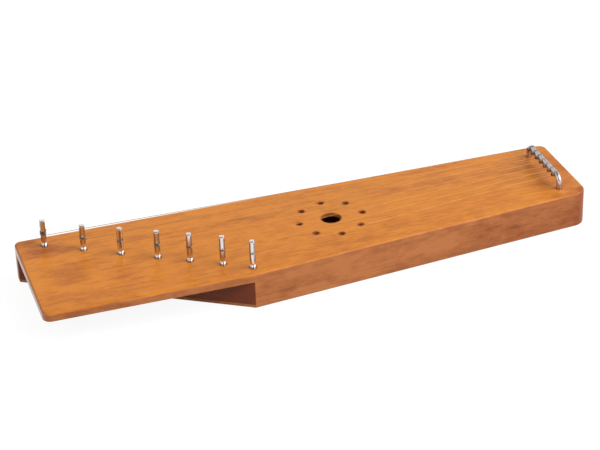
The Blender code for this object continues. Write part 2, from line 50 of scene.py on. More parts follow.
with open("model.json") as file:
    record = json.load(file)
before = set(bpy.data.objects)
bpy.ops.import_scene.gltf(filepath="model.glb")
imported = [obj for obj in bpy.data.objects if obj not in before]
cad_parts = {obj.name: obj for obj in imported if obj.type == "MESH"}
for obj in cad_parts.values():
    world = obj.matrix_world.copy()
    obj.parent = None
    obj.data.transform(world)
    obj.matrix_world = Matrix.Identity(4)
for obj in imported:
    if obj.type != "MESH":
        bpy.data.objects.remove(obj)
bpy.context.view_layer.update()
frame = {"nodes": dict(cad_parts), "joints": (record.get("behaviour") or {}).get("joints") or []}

PLATE_LOW, PLATE_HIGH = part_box("top_plate")
BAR_LOW, BAR_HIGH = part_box("tailpiece_bar")
LEFT, FRONT, RIM_TOP = PLATE_LOW
RIGHT, REAR, TOP = PLATE_HIGH
PIN_FEET = np.array([joint["pos_m"] for joint in frame["joints"]])
STRING_COUNT = len(PIN_FEET)
UP = np.array([0.0, 0.0, 1.0])
FULL_TURN = 2 * np.pi
QUARTER_TURN = np.pi / 2

# two points closer than this are one
WELD = 0.000002
# steps over a corner, an eased edge and the dome at a wire's end, and round a pin's hole, a hole and a wire
CORNER_STEPS = 13
ARRIS_STEPS = 7
DOME_STEPS = 3
WELL_SIDES = 32
SOUND_HOLE_SIDES = 72
WIRE_SIDES = 10
# angles in degrees past which an edge of wood, a pin, a ferrule and a wire is shaded sharp
WOOD_SHARP, PIN_SHARP, FERRULE_SHARP, WIRE_SHARP = 30, 24, 40, 60
# room round a pin or a leg of the bar in its hole, and room under it
WELL_ROOM = 0.0001
WELL_FLOOR = 0.0003
# eased edge of a hole that nothing shows, and the least arris where one runs out, with its length
HIDDEN_EASE = 0.00025
LEAST_ARRIS = 0.00001
ARRIS_RUN_OUT = 0.006
# where the darker stain on the plate's arris fades: over the X part of the outline's way, and in arrises from
# the edge
FACING_FROM, FACING_FADE = 0.2, 0.35
EDGE_FROM, EDGE_FADE = 0.25, 0.65
# height of the end of the bar's middle line over its foot; points along its leg, a bend and the run
FOOT_LIFT = 0.0005
LEG_POINTS, BEND_POINTS, RUN_POINTS = 12, 17, 40
BAR_SIDES = 32
# a pin's tip: its height, and its end's share of the width
TIP_HEIGHT = 0.0008
TIP_SHARE = 0.68
# height over which a pin's corners come out, and half the height of the pane round its cross hole
CORNER_RISE = 0.006
HALF_PANE = 0.00115
# rings over the plain part of a pin, its pane and its head; steps over a flat and over the round beside it
PLAIN_RINGS, PANE_RINGS, HEAD_RINGS = 14, 9, 10
FLAT_STEPS, ROUND_STEPS = 4, 8
THREAD_RINGS = 10
# least half width of a flat as a turn, and how much the eased edge of the cap draws in
LEAST_FLAT = math.radians(4)
CAP_DRAW = 0.22
# share of the cap that is its inner ring
CAP_MIDDLE = 0.5
# dark on a pin, oxide with painted dark reflection: most on its corners, height over which it sets in there,
# and the end and fade of its darkening at the foot
CORNER_OXIDE_AND_REFLECTION = 0.75
CORNER_DARK_RISE = 0.004
FOOT_DARK_END, FOOT_DARK_FADE = 0.0008, 0.0010
# a string's last turn on its pin, its overlap with the winding, its way below the CAD's winding and its room
LAST_TURN = math.radians(150)
LAST_TURN_OVERLAP = 0.09
TURN_GAP = 0.0005
LOOP_ROOM = 0.00002
# a winding's first drop and its greatest share of the height; then wires in a turn, and above the last turn
FIRST_DROP, FIRST_DROP_SHARE = 0.0009, 0.55
WIRES_A_TURN, WIRES_CLEAR = 1.12, 1.1
# points of a winding in its hole and on its bend out of it, and of a noose's round and of its bend
HOLE_POINTS, OUT_POINTS = 9, 15
ROUND_POINTS, NOOSE_BEND_POINTS = 60, 10
# points of a string's last turn and of its run, and how many the noose's twisted half is shorter
LAST_POINTS, SPAN_POINTS, TWIN_SHORTER = 24, 26, 4
# turns in which a winding bends out of its hole and drops, and the turn between two of its points
BEND_OUT, DROP_TURN, WINDING_STEP = math.radians(50), math.radians(75), math.radians(7.5)
# step of a noose's points, length in which its twist settles, and how far the dull wire goes past the bar
NOOSE_STEP = 0.0002
TWIST_SETTLES = 0.0012
DULL_REACH = 0.0040
# eased edge of a ferrule, and steps round it and round the eye in its groove
FERRULE_EASE = 0.00015
FERRULE_SIDES, EYE_SIDES = 28, 36


def metres(name, description, default):
    """A panel setting that is a length."""
    return FloatProperty(name=name, description=description, default=default, unit="LENGTH")


def metres_each(name, description, *default):
    """A panel setting that is a length for each string."""
    return FloatVectorProperty(
        name=name, description=description, default=default, size=7, subtype="XYZ_LENGTH")


def degrees(name, description, default):
    """A panel setting that is a turn; its default is given in degrees."""
    return FloatProperty(name=name, description=description, default=math.radians(default), unit="ROTATION")


def tint(name, description, *default):
    """A panel setting that is a colour."""
    return FloatVectorProperty(name=name, description=description, default=default, size=3, subtype="COLOR")


class GusliBody(bpy.types.PropertyGroup):
    """Sizes of the wooden box and its wing."""

    knee_from_left: metres("Knee from left", "Length of the straight front edge of the wing", 0.185)
    tail_width: metres("Tail width", "Width of the narrow end", 0.100)
    wall_from_rear: metres("Wall from rear", "Way from the rear edge to the oblique wall, at the left", 0.014)
    wing_corner: metres("Front wing corner", "Radius of the front corner of the wing", 0.0078)
    rear_left_corner: metres("Rear left corner", "Radius of the rear corner at the left end", 0.006)
    front_corner: metres("Front tail corner", "Radius of the front corner of the tail", 0.0135)
    rear_corner: metres("Rear tail corner", "Radius of the rear corner of the tail", 0.007)
    knee_corner: metres("Knee", "Radius of the edge between the front and the oblique wall", 0.0022)
    plate_knee: metres("Plate knee", "Radius of the plate's edge above the knee", 0.004)
    wall_end: metres("Wall end", "Radius of the thin end of the oblique wall", 0.0016)
    side: metres("Side", "Thickness of the front and rear walls", 0.011)
    pin_block: metres("Pin block", "Thickness of the oblique wall", 0.024)
    tail_block: metres("Tail block", "Length of the block under the bar", 0.040)
    back: metres("Back", "Thickness of the bottom board", 0.003)
    soundboard: metres("Soundboard", "Thickness of the plate over the sound box", 0.0035)
    ledge: metres("Ledge", "How far the recess under the soundboard stays from the walls", 0.002)
    top_arris: metres("Top arris", "Radius of the upper edge of the plate", 0.0021)
    wing_arris: metres("Wing arris", "Radius of the lower edge of the wing", 0.0010)
    bottom_arris: metres("Bottom arris", "Radius of the lower edge of the box", 0.0007)
    hole_from_left: metres("Sound hole from left", "Distance of the sound hole from the left end", 0.2785)
    hole_from_rear: metres("Sound hole from rear", "Distance of the sound hole from the rear edge", 0.062)
    hole_diameter: metres("Sound hole", "Diameter of the sound hole", 0.018)
    ring_diameter: metres("Ring", "Diameter of the circle of small holes", 0.060)
    ring_hole: metres("Ring hole", "Diameter of each small hole", 0.0055)
    ring_count: IntProperty(
        name="Ring holes", description="Number of small holes round the sound hole", default=8, min=3)
    hole_arris: metres("Hole arris", "Radius of the upper edge of the holes", 0.0005)
    # beyond a hole this is how far the painted shade round it reaches
    shade_and_stain_reach: metres("Stain reach", "How far the gathered stain fades beyond a hole or an edge", 0.0011)


class GusliMetal(bpy.types.PropertyGroup):
    """Sizes of the pins, the bar, the strings and their ferrules."""

    pin_diameter: metres("Pin", "Diameter of a tuning pin", 0.005)
    pin_heights: metres_each(
        "Pin heights", "Height of each pin above the plate, as they are driven in unevenly",
        0.0255, 0.0248, 0.0258, 0.0266, 0.0272, 0.0280, 0.0266)
    pin_below: metres("Pin below", "Depth of a pin in the wood", 0.016)
    pin_top: metres("Across flats", "Width across the flats at the top of a pin", 0.0048)
    pin_corner: metres("Over corners", "Width over the pressed corners of a pin's square head", 0.0056)
    cap_ease: metres("Cap ease", "Height of the eased edge of a pin's top", 0.0007)
    foot_ease: metres("Foot ease", "Radius of the eased edge of the holes that the pins stand in", 0.0007)
    flats_start: metres("Flats start", "Height at which the four flats begin", 0.005)
    thread_pitch: metres("Thread pitch", "Rise of the fine thread in one turn", 0.0005)
    thread_depth: metres("Thread depth", "Depth of the fine thread", 0.00016)
    thread_end: metres("Thread end", "Height above the plate at which the thread runs out", 0.0042)
    cross_hole: metres("Cross hole", "Diameter of the hole for the string", 0.0018)
    hole_heights: metres_each(
        "Cross hole heights", "Height of each pin's cross hole above the plate",
        0.0160, 0.0146, 0.0150, 0.0161, 0.0165, 0.0164, 0.0159)
    pin_turns: FloatVectorProperty(
        name="Pin turns", description="How far each pin is turned", size=7, unit="ROTATION",
        default=[math.radians(turn) for turn in (-8, -95, -53, -102, -12, -106, -107)])
    wire_ends: metres_each(
        "Wire ends", "How far each string's cut end stands out of its cross hole",
        0.0008, -0.0016, 0.0007, -0.0016, 0.0008, -0.0018, -0.0018)
    bar_bend: metres("Bar bend", "Radius of the two bends of the bar, at its middle line", 0.007)
    bar_diameter: metres("Bar", "Diameter of the tailpiece bar", 0.005)
    longest_string: metres("Longest string", "Diameter of the longest string", 0.00044)
    shortest_string: metres("Shortest string", "Diameter of the shortest string", 0.00030)
    noose_bend: metres("Noose bend", "Radius of the bend from the noose into the string", 0.00025)
    noose_twist: metres("Noose twist", "Length in which the doubled wire of the noose twists once", 0.0026)
    ball_diameter: metres("Ball", "Diameter of the ferrule on a string's end", 0.0032)
    ball_length: metres("Ball length", "Length of the ferrule", 0.0018)
    ball_groove: metres("Ball groove", "Diameter at the bottom of the ferrule's groove", 0.0024)
    ball_bore: metres("Ball bore", "Diameter of the ferrule's bore", 0.0012)


class GusliColours(bpy.types.PropertyGroup):
    """Colours of the finishes."""

    plate_light: tint("Plate", "Honey-orange stain of the plate", 0.690, 0.224, 0.011)
    plate_dark: tint("Plate streaks", "Darker streaks of the plate", 0.380, 0.088, 0.006)
    wall_light: tint("Walls", "Red-brown stain of the walls", 0.765, 0.268, 0.087)
    wall_dark: tint("Wall streaks", "Darker streaks of the walls", 0.390, 0.097, 0.028)
    # the oblique wall's colour is darkened in part as painted shade of the wing above it
    block_wood: tint("Oblique wall", "Deep red-brown stain of the wall under the wing", 0.330, 0.066, 0.017)
    bare_wood: tint("Braces", "Bare wood inside the box", 0.620, 0.430, 0.240)
    nickel: tint("Pins", "Nickel plate of the pins", 0.790, 0.740, 0.715)
    # dark of the pins: oxide on the corners with painted dark reflection, painted dark reflection on each
    # cap's rim, and the darker foot
    oxide: tint("Pin corners", "Dark oxide on the corners of the pins", 0.120, 0.070, 0.060)
    steel: tint("Bar", "Drawn steel of the bar", 0.580, 0.525, 0.510)
    # the strings' colour: plain steel tinted orange-brown as a painted reflection of the wood under them
    wire: tint("Strings", "Plain steel of the strings", 0.540, 0.295, 0.090)
    winding: tint("Windings", "Wire of the turns on the pins", 0.300, 0.250, 0.225)
    noose: tint("Nooses", "Dull doubled wire round the bar", 0.400, 0.360, 0.340)
    brass: tint("Balls", "Dull brass of the ferrules", 0.220, 0.140, 0.090)


class GusliStudio(bpy.types.PropertyGroup):
    """Camera, lamps and floor."""

    camera_place: FloatVectorProperty(
        name="Camera", description="Where the camera stands", subtype="TRANSLATION", size=3,
        default=(-0.4575, -1.4532, 0.8960))
    camera_yaw: degrees("Yaw", "Turn of the camera to the right", 17.127)
    camera_pitch: degrees("Pitch", "Tilt of the camera below the horizon", 29.517)
    camera_roll: degrees("Roll", "Roll of the camera", -2.089)
    lens: FloatProperty(name="Lens", description="Focal length of the lens in millimetres", default=117.0)
    floor: tint("Floor", "Colour of the floor", 0.13, 0.13, 0.13)


def unit(vectors):
    """Each vector divided by its own length."""
    return vectors / np.linalg.norm(vectors, axis=-1, keepdims=True)


def smooth(x):
    """The S-curve 3x squared less 2x cubed, held between 0 and 1."""
    x = np.clip(x, 0.0, 1.0)
    return x * x * (3 - 2 * x)


def around(sides):
    """Even turns once round, the last one a step short of the first."""
    return np.linspace(0, FULL_TURN, sides, endpoint=False)


def arc(reach, turn):
    """Points of a plan: the distance times the cosine of the turn, and times its sine."""
    return np.stack([reach * np.cos(turn), reach * np.sin(turn)], -1)


def polar(reach, turn, height):
    """Points at a distance and a turn about Z, and at a height."""
    plan = arc(reach, turn)
    return np.concatenate([plan, np.broadcast_to(height, plan.shape[:-1])[..., None]], -1)


def crossing(first, second):
    """Where two plan lines cross; a line is a point and a direction.

    The step along the first line is the cross product of the way between the points with the second
    direction, over the cross product of the two directions.
    """
    (p, u), (q, v) = first, second
    way = q - p
    return p + u * ((way[0] * v[1] - way[1] * v[0]) / (u[0] * v[1] - u[1] * v[0]))


def inset(edge, distance):
    """A plan line moved to its left, which is into the outline."""
    point, direction = edge
    return point + np.array([-direction[1], direction[0]]) * distance, direction


def edge(start, end):
    """The plan line from one point towards another."""
    start = np.array(start, float)
    return start, unit(np.array(end, float) - start)


def rounded(corners, radii):
    """A closed outline whose corners are arcs.

    With h half the angle at a corner, the arc's centre lies radius / sin h along the bisector. The arc
    starts radius / tan h back along the first edge and sweeps half a turn less 2h.
    """
    corners = np.array(corners, float)
    radii = np.array(radii, float)
    before = unit(np.roll(corners, 1, 0) - corners)
    after = unit(np.roll(corners, -1, 0) - corners)
    half = np.arccos((before * after).sum(1)) / 2
    centre = corners + unit(before + after) * (radii / np.sin(half))[:, None]
    start = corners + before * (radii / np.tan(half))[:, None] - centre
    turn = (np.pi - 2 * half)[:, None] * np.linspace(0, 1, CORNER_STEPS)
    c, s = np.cos(turn), np.sin(turn)
    x = centre[:, :1] + c * start[:, :1] - s * start[:, 1:]
    y = centre[:, 1:] + s * start[:, :1] + c * start[:, 1:]
    return np.stack([x, y], 2).reshape(-1, 2)


def joined(*parts):
    """One closed outline out of points and arcs, without the points that repeat."""
    loop = np.concatenate([np.atleast_2d(part) for part in parts])
    return loop[np.linalg.norm(loop - np.roll(loop, 1, 0), axis=1) > WELD]


def parted(outline, line, distance):
    """A stretch of outline parted where it goes further inside a plan line than the distance.

    The point of crossing divides its segment in the ratio of the depths at the segment's ends.
    """
    point, way = line
    depth = (outline - point) @ np.array([-way[1], way[0]]) - distance
    last = np.flatnonzero(depth < 0)[-1]
    share = depth[last] / (depth[last] - depth[last + 1])
    cross = outline[last] + (outline[last + 1] - outline[last]) * share
    return joined(outline[:last + 1], cross), joined(cross, outline[last + 1:])


def rings_round(loop, depth, height):
    """Rings along one closed outline: ring k lies depth[k] inside it, square to it, at height[k].

    At each point the way in is the sum of the two edge normals over one plus their dot product.
    """
    along = unit(np.roll(loop, -1, 0) - loop)
    normal = np.stack([-along[:, 1], along[:, 0]], 1)
    last = np.roll(normal, 1, 0)
    way = (normal + last) / (1 + (normal * last).sum(1))[:, None]
    depth = np.broadcast_to(np.asarray(depth, float).reshape(len(depth), -1), (len(depth), len(loop)))
    height = np.broadcast_to(np.asarray(height, float).reshape(len(height), -1), depth.shape)
    plan = loop[None] + way[None] * depth[..., None]
    return np.concatenate([plan, height[..., None]], 2)


def arris(radius, height, upward):
    """Depths and heights of a quarter round along an edge, from the wall to the flat, as two columns."""
    turn = np.linspace(0, QUARTER_TURN, ARRIS_STEPS)[:, None]
    radius = np.atleast_1d(radius)[None]
    depth = radius * (1 - np.cos(turn))
    rise = radius * (np.sin(turn) - 1)
    return depth, height + rise if upward else height - rise


def grid(points):
    """The four-sided faces of a grid of points, closed along its second way."""
    number = np.arange(points.shape[0] * points.shape[1]).reshape(points.shape[:2])
    right = np.roll(number, -1, 1)
    faces = np.stack([number[:-1], right[:-1], right[1:], number[1:]], -1)
    return points.reshape(-1, 3), faces.reshape(-1, 4)


def fan(ring, tip):
    """A closed ring joined to one point."""
    number = np.arange(len(ring))
    faces = np.stack([number, np.roll(number, -1), np.full(len(ring), len(ring))], 1)
    return np.concatenate([ring, np.array(tip, float)[None]]), faces


def inside(points, loop):
    """True for the points from which an upright line crosses the outline an odd number of times."""
    after = np.roll(loop, -1, 0)
    x, y = points[:, :1], points[:, 1:]
    spans = (loop[:, 0] > x) != (after[:, 0] > x)
    run = np.where(after[:, 0] == loop[:, 0], 1.0, after[:, 0] - loop[:, 0])
    at = loop[:, 1] + (x - loop[:, 0]) * (after[:, 1] - loop[:, 1]) / run
    return (spans & (y < at)).sum(1) % 2 == 1


def flat(height, outer, holes=()):
    """A level face inside one outline and outside its holes, in Delaunay triangles on their own points."""
    loops = [outer, *holes]
    ends = np.cumsum([0] + [len(loop) for loop in loops])
    sides = [np.stack([np.arange(a, b), np.roll(np.arange(a, b), -1)], 1) for a, b in zip(ends, ends[1:])]
    points = [Vector(point) for point in np.concatenate(loops)]
    found = delaunay_2d_cdt(points, np.concatenate(sides).tolist(), [], 0, 1e-9)
    plan, faces = np.array(found[0]), np.array(found[2])
    middle = plan[faces].mean(1)
    keep = inside(middle, outer)
    for hole in holes:
        keep &= ~inside(middle, hole)
    return np.column_stack([plan, np.full(len(plan), height)]), faces[keep]


def tube(path, radius, side, sides=WIRE_SIDES):
    """A round wire along a path, closed with a dome at each end.

    Each ring is centred on the path and stands square to it: its first arm is the side vector less the part
    along the path, its second arm is square to both. The domes shrink by the sine of a quarter turn.
    """
    ahead = unit(np.gradient(path, axis=0))
    side = np.broadcast_to(side, path.shape)
    arm = unit(side - ahead * (side * ahead).sum(1, keepdims=True))
    other = np.cross(ahead, arm)
    quarter = np.linspace(0, QUARTER_TURN, DOME_STEPS + 1)[:-1, None]
    start = path[:1] - ahead[:1] * radius * np.cos(quarter)
    end = path[-1:] + ahead[-1:] * radius * np.cos(quarter[::-1])
    grow = np.sin(quarter[:, 0])
    scale = np.concatenate([grow, np.ones(len(ahead)), grow[::-1]]) * radius
    ends = ((DOME_STEPS, DOME_STEPS), (0, 0))
    arm, other = (np.pad(way, ends, mode="edge")[:, None] for way in (arm, other))
    turn = around(sides)[None, :, None]
    ring = scale[:, None, None] * (np.cos(turn) * arm + np.sin(turn) * other)
    return grid(np.concatenate([start, path, end])[:, None] + ring)


def turned(profile, sides):
    """A turned piece about Z: each point of the profile, a distance and a height, goes once round."""
    profile = np.array(profile, float)
    return polar(profile[:, :1], around(sides), profile[:, 1:])


def turned_to(points, angle, place):
    """Points turned about Z by an angle and moved to a place."""
    c, s = math.cos(angle), math.sin(angle)
    x = points[..., 0] * c - points[..., 1] * s
    y = points[..., 0] * s + points[..., 1] * c
    return np.stack([x, y, points[..., 2]], -1) + place


def weld(name, patches, finish, sharp_deg):
    """Join patches of points and faces into one closed piece, facing out, and give it its finish."""
    offset = 0
    points, faces = [], []
    for patch, corners in patches:
        points.append(patch)
        faces += (corners + offset).tolist()
        offset += len(patch)
    mesh = bpy.data.meshes.new(name)
    mesh.from_pydata(np.concatenate(points), [], faces)
    work = bmesh.new()
    work.from_mesh(mesh)
    bmesh.ops.remove_doubles(work, verts=work.verts, dist=WELD)
    bmesh.ops.dissolve_degenerate(work, dist=WELD, edges=work.edges)
    bmesh.ops.recalc_face_normals(work, faces=work.faces)
    open_edges = sum(not e.is_manifold for e in work.edges)
    work.to_mesh(mesh)
    work.free()
    if open_edges:
        raise RuntimeError(f"{name} has {open_edges} open edges")
    mesh.shade_smooth()
    mesh.set_sharp_from_angle(angle=math.radians(sharp_deg))
    mesh.materials.append(finish_of(finish))
    piece = bpy.data.objects.new(name, mesh)
    bpy.context.scene.collection.objects.link(piece)
    return piece


def dress(piece, node, body="body"):
    """Let a piece stand for its CAD node, on that node's body."""
    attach(piece, body)
    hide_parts(node)


def even_out(piece):
    """Let large flat faces rule the shading next to the rounded edges."""
    steady = piece.modifiers.new("even shading", "WEIGHTED_NORMAL")
    steady.keep_sharp = True


def points_of(mesh):
    """The points of a mesh as an array."""
    points = np.empty(3 * len(mesh.vertices))
    mesh.vertices.foreach_get("co", points)
    return points.reshape(-1, 3)


def write_mask(mesh, name, values):
    """Write a value for each point of a mesh, as the attribute that its finish reads."""
    mesh.attributes.new(name, "FLOAT", "POINT").data.foreach_set("value", values)


def box_lines(body):
    """The six plan lines of the body: front edge, tail, rear edge, left end, wing edge and oblique wall."""
    corners = [
        (LEFT + body.knee_from_left, FRONT), (RIGHT, REAR - body.tail_width),
        (RIGHT, REAR), (LEFT, REAR), (LEFT, FRONT)]
    outline = [edge(start, end) for start, end in zip(corners, corners[1:] + corners[:1])]
    return *outline, edge((LEFT, REAR - body.wall_from_rear), corners[0])


def corners_of(*lines):
    """The corners of an outline from its edges in order, each where an edge meets the one before."""
    return [crossing(lines[i - 1], lines[i]) for i in range(len(lines))]


def box_outline(body):
    """The outline of the sound box: knee, two tail corners, rear left corner and the end of the wall."""
    front, tail, rear, left, _, wall = box_lines(body)
    corners = corners_of(front, tail, rear, left, wall)
    radii = [body.knee_corner, body.front_corner, body.rear_corner, body.rear_left_corner, body.wall_end]
    return rounded(corners, radii).reshape(5, CORNER_STEPS, 2)


def drilled(centre, radius, high, low, ease, sides=WELL_SIDES, apron=0.0):
    """The wall of a round hole, as rings from its eased upper edge down.

    The apron, if asked, is a level ring outside it.
    """
    depth, height = arris(ease, high, True)
    radii = np.concatenate([radius + depth[::-1, 0], [radius]])
    heights = np.concatenate([height[::-1, 0], [low]])
    if apron:
        radii, heights = np.append(radii[0] + apron, radii), np.append(high, heights)
    return turned(np.stack([radii, heights], 1), sides) + np.array([centre[0], centre[1], 0.0])


def rims(holes, row):
    """One ring of each hole, in plan."""
    return [hole[row, :, :2] for hole in holes]


def board(loop, low, high, holes=()):
    """A board with square edges and blind holes in its upper face."""
    wall = grid(rings_round(loop, [0.0, 0.0], [low, high]))
    patches = [wall, flat(low, loop), flat(high, loop, rims(holes, 0))]
    for hole in holes:
        patches += [grid(hole), fan(hole[-1], (*hole[-1, :, :2].mean(0), hole[-1, 0, 2]))]
    return patches


def pin_wells(metal, high, ease, apron=0.0):
    """The holes of the seven pins, from one height down to their tips."""
    radius, low = metal.pin_diameter / 2 + WELL_ROOM, TOP - metal.pin_below - WELL_FLOOR
    return [drilled(foot, radius, high, low, ease, apron=apron) for foot in PIN_FEET]


def bar_legs(metal):
    """The X of the bar and the Y of its rear and front legs."""
    radius = metal.bar_diameter / 2
    return (BAR_LOW.x + BAR_HIGH.x) / 2, BAR_HIGH.y - radius, BAR_LOW.y + radius


def bar_wells(metal, high, apron=0.0):
    """The holes of the bar's two legs."""
    x, *legs = bar_legs(metal)
    radius, low = metal.bar_diameter / 2 + WELL_ROOM, BAR_LOW.z - WELL_FLOOR
    return [drilled((x, y), radius, high, low, HIDDEN_EASE, apron=apron) for y in legs]


def through(hole, low):
    """A hole that goes on to the lower face of a board."""
    hole = hole.copy()
    hole[-1, :, 2] = low
    return hole


def gather_shade_and_stain(mesh, loop, holes, body):
    """Write how dark each point of the plate is: painted shade in and round its holes, darker stain on its
    arris.

    It is 1 in the holes and low on the arris, except where that faces the player, and fades out beyond the
    holes and up the arris. In and round the holes, and round the feet of the pins and legs, it is painted
    shade;
    on the arris it is darker stain. An outline point faces the player by the X part of the outline's way
    there.
    """
    points = points_of(mesh)
    along = unit(np.roll(loop, -1, 0) - np.roll(loop, 1, 0))
    apart = np.linalg.norm(points[:, None, :2] - loop[None], axis=2)
    height = smooth((points[:, 2] - TOP + body.top_arris) / (body.top_arris / 2))
    away = (1 - smooth((along[:, 0] - FACING_FROM) / FACING_FADE))[apart.argmin(1)]
    at_edge = away * height * (1 - smooth((apart.min(1) / body.top_arris - EDGE_FROM) / EDGE_FADE))
    # in and round the holes: painted shade, full in them and fading out beyond them
    centres = np.array([rim.mean(0) for rim in rims(holes, -1)])
    radii = np.linalg.norm(np.array([hole[1, 0, :2] for hole in holes]) - centres, axis=1)
    beyond = (np.linalg.norm(points[:, None, :2] - centres[None], axis=2) - radii).min(1)
    write_mask(mesh, "gathered", np.maximum(at_edge, 1 - smooth(beyond / body.shade_and_stain_reach)))


class GUSLI_OT_plate(bpy.types.Operator):
    """Build the plate: soundboard and wing in one board, with its holes and the recess below"""

    bl_idname = "gusli.plate"
    bl_label = "Plate"

    def execute(self, context):
        body, metal = context.scene.gusli_body, context.scene.gusli_metal
        front, tail, rear, left, wing, wall = box_lines(body)
        loop = rounded(corners_of(wing, front, tail, rear, left), [
            body.wing_corner, body.plate_knee, body.front_corner, body.rear_corner, body.rear_left_corner])

        # the lower edge is rounded on the open wing alone, and runs out where the box begins
        wall_point, wall_way = wall
        beyond = (loop - wall_point) @ np.array([wall_way[1], -wall_way[0]])
        lower = body.wing_arris * smooth(beyond / ARRIS_RUN_OUT) + LEAST_ARRIS
        up_depth, up_height = arris(np.full(len(loop), body.top_arris), TOP, True)
        low_depth, low_height = arris(lower, RIM_TOP, False)
        # a level ring round each hole and inside the edge, over which the painted shade and the stain fade
        # out
        apron = body.shade_and_stain_reach
        edge_rings = rings_round(
            loop, np.concatenate([low_depth[::-1], up_depth, up_depth[-1:] + apron]),
            np.concatenate([low_height[::-1], up_height, up_height[-1:]]))

        keep = body.side + body.ledge
        recess = np.array(corners_of(
            inset(front, keep), inset(tail, body.tail_block + body.ledge),
            inset(rear, keep), inset(wall, body.pin_block + body.ledge)))
        ceiling = TOP - body.soundboard
        middle = np.array([LEFT + body.hole_from_left, REAR - body.hole_from_rear])
        sounding = [drilled(
            middle, body.hole_diameter / 2, TOP, ceiling, body.hole_arris, SOUND_HOLE_SIDES, apron)]
        for spot in middle + arc(body.ring_diameter / 2, around(body.ring_count)):
            sounding.append(drilled(spot, body.ring_hole / 2, TOP, ceiling, body.hole_arris, apron=apron))
        wells = pin_wells(metal, TOP, metal.foot_ease, apron) + bar_wells(metal, TOP, apron)
        wells = [through(hole, RIM_TOP) for hole in wells]

        patches = [grid(edge_rings), grid(rings_round(recess, [0.0, 0.0], [RIM_TOP, ceiling]))]
        patches += [grid(hole) for hole in sounding + wells]
        patches.append(flat(TOP, edge_rings[-1, :, :2], rims(sounding + wells, 0)))
        patches.append(flat(RIM_TOP, edge_rings[0, :, :2], [recess] + rims(wells, -1)))
        patches.append(flat(ceiling, recess, rims(sounding, -1)))
        plate = weld("plate", patches, "wood_top", WOOD_SHARP)
        gather_shade_and_stain(plate.data, loop, sounding + wells, body)
        even_out(plate)
        dress(plate, "top_plate")
        return {"FINISHED"}


class GUSLI_OT_back(bpy.types.Operator):
    """Build the thin bottom board of the sound box"""

    bl_idname = "gusli.back"
    bl_label = "Back"

    def execute(self, context):
        body = context.scene.gusli_body
        loop = box_outline(body).reshape(-1, 2)
        depth, height = arris(body.bottom_arris, 0.0, False)
        rings = rings_round(loop, np.append(depth[::-1], 0.0), np.append(height[::-1], body.back))
        patches = [grid(rings), flat(0.0, rings[0, :, :2]), flat(body.back, rings[-1, :, :2])]
        back = weld("back", patches, "wood_side", WOOD_SHARP)
        even_out(back)
        dress(back, "back_plate")
        return {"FINISHED"}


class GUSLI_OT_walls(bpy.types.Operator):
    """Build the front and rear walls and the two blocks, flush with the plate and the back"""

    bl_idname = "gusli.walls"
    bl_label = "Walls and blocks"

    def execute(self, context):
        body, metal = context.scene.gusli_body, context.scene.gusli_metal
        front, tail, rear, left, _, wall = box_lines(body)
        knee, tail_front, tail_rear, rear_left, wall_end = box_outline(body)
        inner_front, inner_rear = inset(front, body.side), inset(rear, body.side)
        inner_wall, inner_tail = inset(wall, body.pin_block), inset(tail, body.tail_block)
        mitre = crossing(inner_front, inner_wall)
        left_end, tail_end = crossing(left, inner_rear), crossing(tail, inner_rear)
        half = CORNER_STEPS // 2
        beyond = crossing(tail, inset(front, 2 * body.side))
        front_arc, tail_arc = parted(joined(tail_front, beyond), front, body.side)
        pieces = (
            ("front_wall", "front_side", "wood_side", (), [knee[half:], front_arc, mitre]),
            ("rear_wall", "rear_side", "wood_side", (), [tail_end, tail_rear, rear_left, left_end]),
            ("pin_block_wood", "pin_block", "wood_wall", pin_wells(metal, RIM_TOP, HIDDEN_EASE),
             [wall_end, knee[:half + 1], mitre, crossing(inner_wall, inner_rear), left_end]),
            ("tail_block_wood", "tail_block", "wood_side", bar_wells(metal, RIM_TOP),
             [crossing(inner_tail, inner_front), tail_arc, tail_end, crossing(inner_tail, inner_rear)]),
        )
        for name, node, finish, wells, parts in pieces:
            piece = weld(name, board(joined(*parts), body.back, RIM_TOP, wells), finish, WOOD_SHARP)
            even_out(piece)
            dress(piece, node)
        return {"FINISHED"}


class GUSLI_OT_braces(bpy.types.Operator):
    """Give the two braces inside the box their bare wood"""

    bl_idname = "gusli.braces"
    bl_label = "Braces"

    def execute(self, context):
        for node in ("brace_1", "brace_2"):
            for holder in frame["nodes"][node].material_slots:
                holder.material = finish_of("wood_inner")
        return {"FINISHED"}


def bar_path(metal):
    """The middle line of the bar: foot, rear leg, bend, run, bend, front leg, foot.

    In the Y Z plane each bend is a quarter circle of the bend radius between the leg and the run.
    """
    x, rear, front = bar_legs(metal)
    bend, high = metal.bar_bend, BAR_HIGH.z - metal.bar_diameter / 2
    quarter = arc(bend, np.linspace(0, QUARTER_TURN, BEND_POINTS))
    leg = np.linspace(BAR_LOW.z + FOOT_LIFT, high - bend, LEG_POINTS)[:-1]
    run = np.linspace(rear - bend, front + bend, RUN_POINTS)[1:-1]
    rear_leg, front_leg = (np.column_stack(np.broadcast_arrays(y, leg)) for y in (rear, front))
    path = np.concatenate([
        rear_leg, quarter + (rear - bend, high - bend), np.column_stack(np.broadcast_arrays(run, high)),
        (quarter * (-1, 1) + (front + bend, high - bend))[::-1], front_leg[::-1]])
    return np.column_stack([np.full(len(path), x), path])


class GUSLI_OT_bar(bpy.types.Operator):
    """Build the bent tailpiece bar"""

    bl_idname = "gusli.bar"
    bl_label = "Tailpiece bar"

    def execute(self, context):
        metal = context.scene.gusli_metal
        patch = tube(bar_path(metal), metal.bar_diameter / 2, np.array([1.0, 0.0, 0.0]), BAR_SIDES)
        dress(weld("bar", [patch], "bar_steel", WIRE_SHARP), "tailpiece_bar")
        return {"FINISHED"}


